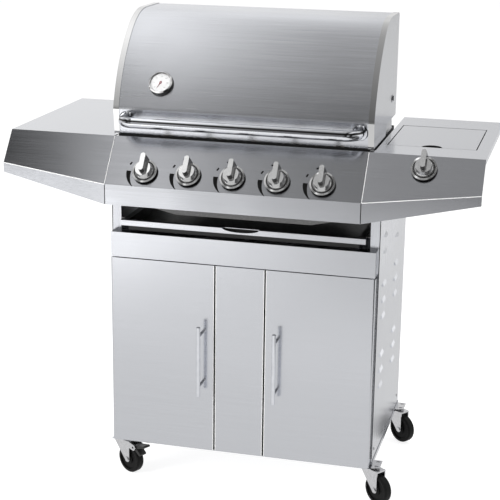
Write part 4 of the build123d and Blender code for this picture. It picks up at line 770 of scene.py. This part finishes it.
# Folds and joints of the shelves: a painted highlight on the fold over each strip and beside the
# slanted joint, and painted shade in the gap down each strip and over the lip of the base
fold_highlights = bmesh.new()
gap_shades = bmesh.new()
for side in SIDES:
    fold_from = (side * (JOINT_X + FOLD_IN), FOLD_Y, FOLD_Z)
    fold_to = (side * (SHELF_X - FOLD_END_IN), SHELF_END_Y, face_height(SHELF_END_Y))
    edge_x = side * (JOINT_X + SLANT_EDGE_IN)
    gap_x = side * (JOINT_X - STRIP_GAP_IN)
    ribbon(fold_highlights, fold_from, fold_to, FACE_OUT + FRONT, FOLD_HIGHLIGHT_W)
    ribbon(fold_highlights, (edge_x, FOLD_Y, FOLD_Z), (edge_x, TOP_EDGE_Y, TOP_Z), FACE_OUT, SLANT_HIGHLIGHT_W)
    ribbon(gap_shades, (gap_x, FOLD_Y, STRIP_GAP_FROM), (gap_x, FOLD_Y, STRIP_GAP_TO), FRONT, STRIP_GAP_W)
for side in SIDES:
    line_from = (side * SIDE_X, POST_FRONT_Y + LIP_LINE_IN, LIP_LINE_Z)
    line_to = (side * SIDE_X, BACK_Y - LIP_LINE_IN, LIP_LINE_Z)
    ribbon(gap_shades, line_from, line_to, (side, 0, 0), LIP_LINE_W)
to_object(fold_highlights, "shelf_fold_highlights", PAINTED_HIGHLIGHT, "cart")
# Black ribbons as painted shade in the strip gaps and on the step over the base lip
to_object(gap_shades, "sheet_gap_shades", BLACK, "cart")

# Front edges at the door and centre panel gaps: painted shade at each gap, painted highlight beside it
centre_edge_highlights = bmesh.new()
centre_shades = bmesh.new()
for side, door in zip(SIDES, ("left_door", "right_door")):
    door_highlight = bmesh.new()
    door_shade = bmesh.new()
    for bm, x, width in (
        (centre_shades, CENTRE_EDGE_X - SHADE_W / 2, SHADE_W),
        (centre_edge_highlights, CENTRE_EDGE_X - HIGHLIGHT_IN, HIGHLIGHT_W),
        (door_shade, DOOR_EDGE_X + SHADE_W / 2, SHADE_W),
        (door_highlight, DOOR_EDGE_X + HIGHLIGHT_IN, HIGHLIGHT_W),
    ):
        ribbon(bm, (side * x, DOOR_FACE_Y, EDGE_BOTTOM), (side * x, DOOR_FACE_Y, EDGE_TOP), FRONT, width)
    to_object(door_highlight, f"{door}_edge", PAINTED_HIGHLIGHT, door)
    to_object(door_shade, f"{door}_shade", BLACK, door)
to_object(centre_edge_highlights, "centre_edge_highlights", PAINTED_HIGHLIGHT, "cart")
to_object(centre_shades, "centre_shades", BLACK, "cart")


# Pressed louvres near the top of each side panel, and painted shade of the seam along each front post
def louvre(bm, side, y, z):
    """Louvre pressed outwards from a side panel, flat below, and drawn in to nothing at both ends."""
    rings = []
    for i in range(LOUVRE_STEPS + 1):
        t = 2 * i / LOUVRE_STEPS - 1
        swell = math.sqrt(max(0.0, 1 - t ** 4))
        out = LOUVRE_OUT * swell
        top = LOUVRE_EDGE + (LOUVRE_H - LOUVRE_EDGE) * swell
        section = ((-LOUVRE_SINK, 0), (out, 0), (out * LOUVRE_LEAN, LOUVRE_EDGE), (-LOUVRE_SINK, top))
        at_y = y + t * LOUVRE_L / 2
        rings.append([bm.verts.new((side * (SIDE_X + reach), at_y, z + up)) for reach, up in section])
    for a, b in zip(rings, rings[1:]):
        for j in range(4):
            k = (j + 1) % 4
            bm.faces.new((a[j], a[k], b[k], b[j]))
    bm.faces.new(rings[0])
    bm.faces.new(rings[-1][::-1])


pressed = bmesh.new()
seam_shades = bmesh.new()
seam_outline = [
    (-SEAM_HALF, SEAM_BOTTOM), (SEAM_HALF, SEAM_BOTTOM), (SEAM_HALF, SEAM_SHOULDER),
    (SEAM_TIP, SEAM_TOP), (-SEAM_TIP, SEAM_TOP), (-SEAM_HALF, SEAM_SHOULDER),
]
for side in SIDES:
    for y, z in UPPER_LOUVRES:
        louvre(pressed, side, y, z)
    plate(seam_shades, seam_outline, TRIM_T, basis((side * (SIDE_X - SEAM_IN), POST_FRONT_Y, 0), FRONT))
to_object(pressed, "upper_louvres", STAINLESS_Z, "cart")
# Black strips as painted shade of the seam beside each post front
to_object(seam_shades, "post_seam_shades", BLACK, "cart")

# Castor fasteners: a screw in each slot of the top plates, and a nut on each end of the axles
plate_screws = bmesh.new()
nut = [(AXLE_R, 0), (NUT_R, 0), (NUT_R, NUT_CHAMFER_H), (NUT_CHAMFER_R, NUT_H), (AXLE_R, NUT_H)]
for corner in CASTORS:
    swivel = joint_at(f"{corner}_swivel")
    for dx, dy in PLATE_SCREWS:
        at = (swivel.x + PLATE_SHIFT + dx, swivel.y + dy, PLATE_UNDER)
        pan_head(plate_screws, basis(at, (0, 0, -1), (0, 1, 0)), PLATE_SCREW_R, PLATE_SCREW_H)
    nuts = bmesh.new()
    axle = joint_axis(f"{corner}_roll")
    for side in SIDES:
        at = joint_at(f"{corner}_roll") + axle * side * AXLE_END
        turned(nuts, nut, basis(at, axle * side), NUT_SIDES)
    to_object(nuts, f"{corner}_axle_nuts", ZINC, f"{corner}_fork")
to_object(plate_screws, "castor_screws", ZINC, "cart")

# Tones of the studio: round from the front horizon over the top to the back, from left to right in front
# and behind, and on the floor ahead of the object and across it
SKY_STOPS = (
    (0.0, 0.22), (0.08, 0.24), (0.19, 0.36), (0.33, 0.52), (0.47, 0.66),
    (0.61, 0.76), (0.72, 0.86), (0.78, 1.0), (0.84, 0.93), (1.0, 0.95),
)
SCREEN_STOPS = (
    (0.0, 1.2), (0.09, 1.1), (0.12, 0.12), (0.17, 0.12), (0.2, 1.0),
    (0.24, 0.8), (0.27, 0.16), (0.298, 0.2), (0.313, 0.6), (0.327, 1.85),
    (0.345, 2.1), (0.361, 1.12), (0.385, 0.72), (0.41, 0.51), (0.425, 0.6),
    (0.45, 0.5), (0.5, 0.6), (0.54, 0.1), (0.62, 0.1), (0.66, 1.3),
    (0.74, 1.3), (0.78, 0.1), (0.86, 0.1), (0.9, 1.1), (1.0, 1.1),
)
REAR_STOPS = ((0.0, 1.0), (0.3, 1.0), (0.38, 0.95), (0.44, 0.78), (0.5, 0.74), (1.0, 0.9))
AHEAD_STOPS = ((0.0, 0.74), (0.2, 0.8), (0.42, 0.95), (0.6, 1.1), (0.84, 1.4), (0.9, 0.5), (1.0, 0.2))
ACROSS_STOPS = (
    (0.0, 1.2), (0.1, 1.6), (0.2, 1.9), (0.31, 1.38), (0.44, 1.04), (0.67, 0.66), (0.8, 0.52), (1.0, 0.5),
)
REAR_FROM, REAR_TO = 0.45, 0.8

# Floor: its tones, and where its tones in mirrors lie ahead of the object and across, in metres
FLOOR_SIZE = 14.0
FLOOR_GLOW = 0.8
FLOOR_SHADE = 0.45
FLOOR_MATT = 0.86
AHEAD_FROM, AHEAD_TO = 0.0, 4.0
ACROSS_FROM, ACROSS_TO = -1.8, 0.6
ACROSS_FADE = (1.2, 2.6)
PATCH_ACROSS, PATCH_AHEAD = (0.25, 0.45), (-1.6, -2.0)
PATCH_SLANT = 0.3
PATCH_TONE = 0.55
GLOOM_ACROSS, GLOOM_AHEAD = (0.95, 1.1), (0.45, 0.6)
GLOOM_SHARE = 0.92


def mirrored_floor(tree):
    """Tone of the floor in mirrors: a soft fall-off, a bright patch behind and a dim one at the right."""
    place = own_place(tree)
    ahead = math_node(tree, "MULTIPLY", place["Y"], -1.0)
    near = tone_ramp(tree, remap(tree, ahead, AHEAD_FROM, AHEAD_TO), AHEAD_STOPS)
    across = tone_ramp(tree, remap(tree, place["X"], ACROSS_FROM, ACROSS_TO), ACROSS_STOPS)
    lit = math_node(tree, "MULTIPLY", near, mixed(tree, 1.0, across, remap(tree, ahead, *ACROSS_FADE)))
    beside = math_node(tree, "ADD", place["X"], math_node(tree, "MULTIPLY", ahead, PATCH_SLANT))
    patch_far = remap(tree, ahead, *PATCH_AHEAD)
    patch = math_node(tree, "MULTIPLY", remap(tree, beside, *PATCH_ACROSS), patch_far)
    lit = math_node(tree, "ADD", lit, math_node(tree, "MULTIPLY", patch, PATCH_TONE))
    gloom_far = remap(tree, ahead, *GLOOM_AHEAD)
    gloom = math_node(tree, "MULTIPLY", remap(tree, place["X"], *GLOOM_ACROSS), gloom_far)
    left_over = math_node(tree, "SUBTRACT", 1.0, math_node(tree, "MULTIPLY", gloom, GLOOM_SHARE))
    return math_node(tree, "MULTIPLY", lit, left_over)


def floor_finish(name):
    """Plain white floor that keeps the object's shadow, and a lit floor with a soft fall-off to mirrors."""
    mat, tree, out = empty_material(name)
    path = tree.nodes.new("ShaderNodeLightPath")
    glow = tree.nodes.new("ShaderNodeEmission")
    glow.inputs["Strength"].default_value = FLOOR_GLOW
    shade = tree.nodes.new("ShaderNodeBsdfDiffuse")
    shade.inputs["Color"].default_value = (*grey(FLOOR_SHADE), 1)
    white = tree.nodes.new("ShaderNodeAddShader")
    tree.links.new(glow.outputs["Emission"], white.inputs[0])
    tree.links.new(shade.outputs["BSDF"], white.inputs[1])
    matt = tree.nodes.new("ShaderNodeBsdfDiffuse")
    matt.inputs["Color"].default_value = (*grey(FLOOR_MATT), 1)
    shine = tree.nodes.new("ShaderNodeEmission")
    tree.links.new(mirrored_floor(tree), shine.inputs["Strength"])
    by_camera = path.outputs["Is Camera Ray"]
    seen = shader_mix(tree, by_camera, shine.outputs["Emission"], white.outputs["Shader"])
    direct = math_node(tree, "MAXIMUM", by_camera, path.outputs["Is Glossy Ray"])
    tree.links.new(shader_mix(tree, direct, matt.outputs["BSDF"], seen), out.inputs["Surface"])
    return mat


def studio_world(name):
    """White backdrop. In mirrors it is dim low in front and brighter overhead, with a screen at the left."""
    world = bpy.data.worlds.new(name)
    world.use_nodes = True
    tree = world.node_tree
    tree.nodes.clear()
    out = tree.nodes.new("ShaderNodeOutputWorld")
    coords = tree.nodes.new("ShaderNodeTexCoord")
    way = split_axes(tree, coords.outputs["Generated"])
    front = math_node(tree, "MULTIPLY", way["Y"], -1.0)
    turn = math_node(tree, "DIVIDE", math_node(tree, "ARCTAN2", way["Z"], front), math.pi)
    arch = tone_ramp(tree, turn, SKY_STOPS)
    sideways = remap(tree, way["X"], -1.0, 1.0)
    screen = tone_ramp(tree, sideways, SCREEN_STOPS)
    behind = tone_ramp(tree, sideways, REAR_STOPS)
    sideways_tone = mixed(tree, screen, behind, remap(tree, turn, REAR_FROM, REAR_TO))
    light = math_node(tree, "MULTIPLY", arch, sideways_tone)
    sky = tree.nodes.new("ShaderNodeBackground")
    tree.links.new(light, sky.inputs["Color"])
    white = tree.nodes.new("ShaderNodeBackground")
    white.inputs["Color"].default_value = (1, 1, 1, 1)
    path = tree.nodes.new("ShaderNodeLightPath")
    by_camera = path.outputs["Is Camera Ray"]
    both = shader_mix(tree, by_camera, sky.outputs["Background"], white.outputs["Background"])
    tree.links.new(both, out.inputs["Surface"])
    return world


def softbox(name, at, target, width, height, watts):
    """Large soft area light that faces a target and isn't mirrored."""
    light = bpy.data.lights.new(name, "AREA")
    light.shape = "RECTANGLE"
    light.size = width
    light.size_y = height
    light.energy = watts
    obj = bpy.data.objects.new(name, light)
    obj.location = at
    obj.rotation_euler = (Vector(target) - Vector(at)).to_track_quat("-Z", "Y").to_euler()
    obj.visible_glossy = False
    bpy.context.scene.collection.objects.link(obj)


# Floor, world and lights, in metres and watts
floor_bm = bmesh.new()
bmesh.ops.create_grid(floor_bm, x_segments=8, y_segments=8, size=FLOOR_SIZE)
floor_mesh = bpy.data.meshes.new("floor")
floor_bm.to_mesh(floor_mesh)
floor_bm.free()
floor_mesh.materials.append(floor_finish("studio_floor"))
floor = bpy.data.objects.new("floor", floor_mesh)
bpy.context.scene.collection.objects.link(floor)
bpy.context.scene.world = studio_world("studio")
softbox("overhead", at=(0.0, 0.2, 3.4), target=(0, 0, 0), width=3.4, height=2.4, watts=90.0)
softbox("front_left", at=(-2.6, -2.6, 2.0), target=(0, 0, 0.7), width=1.6, height=2.2, watts=115.0)
softbox("right", at=(3.2, -0.6, 2.0), target=(0, 0, 0.7), width=1.6, height=2.2, watts=20.0)

# Camera fitted to the photograph: place in metres, turns in radians, focal length in its pixels
CAMERA_AT = Vector((0.82447, -3.26786, 1.54803))
YAW, PITCH, ROLL = 0.2524, 0.2789, 0.0130
FOCAL_PX, PHOTO_PX = 1381.9, 500
SENSOR = 36.0

camera_data = bpy.data.cameras.new("camera")
camera = bpy.data.objects.new("camera", camera_data)
bpy.context.scene.collection.objects.link(camera)
forward = Vector((-math.sin(YAW) * math.cos(PITCH), math.cos(YAW) * math.cos(PITCH), -math.sin(PITCH)))
right = Vector((math.cos(YAW), math.sin(YAW), 0))
up = right.cross(forward)
across = right * math.cos(ROLL) + up * math.sin(ROLL)
above = -right * math.sin(ROLL) + up * math.cos(ROLL)
pose = Matrix((across, above, -forward)).transposed().to_4x4()
pose.translation = CAMERA_AT
camera.matrix_world = pose
camera_data.sensor_width = SENSOR
camera_data.lens = FOCAL_PX / PHOTO_PX * SENSOR
camera_data.clip_end = 100.0
bpy.context.scene.camera = camera

bpy.context.scene.view_settings.view_transform = "Standard"
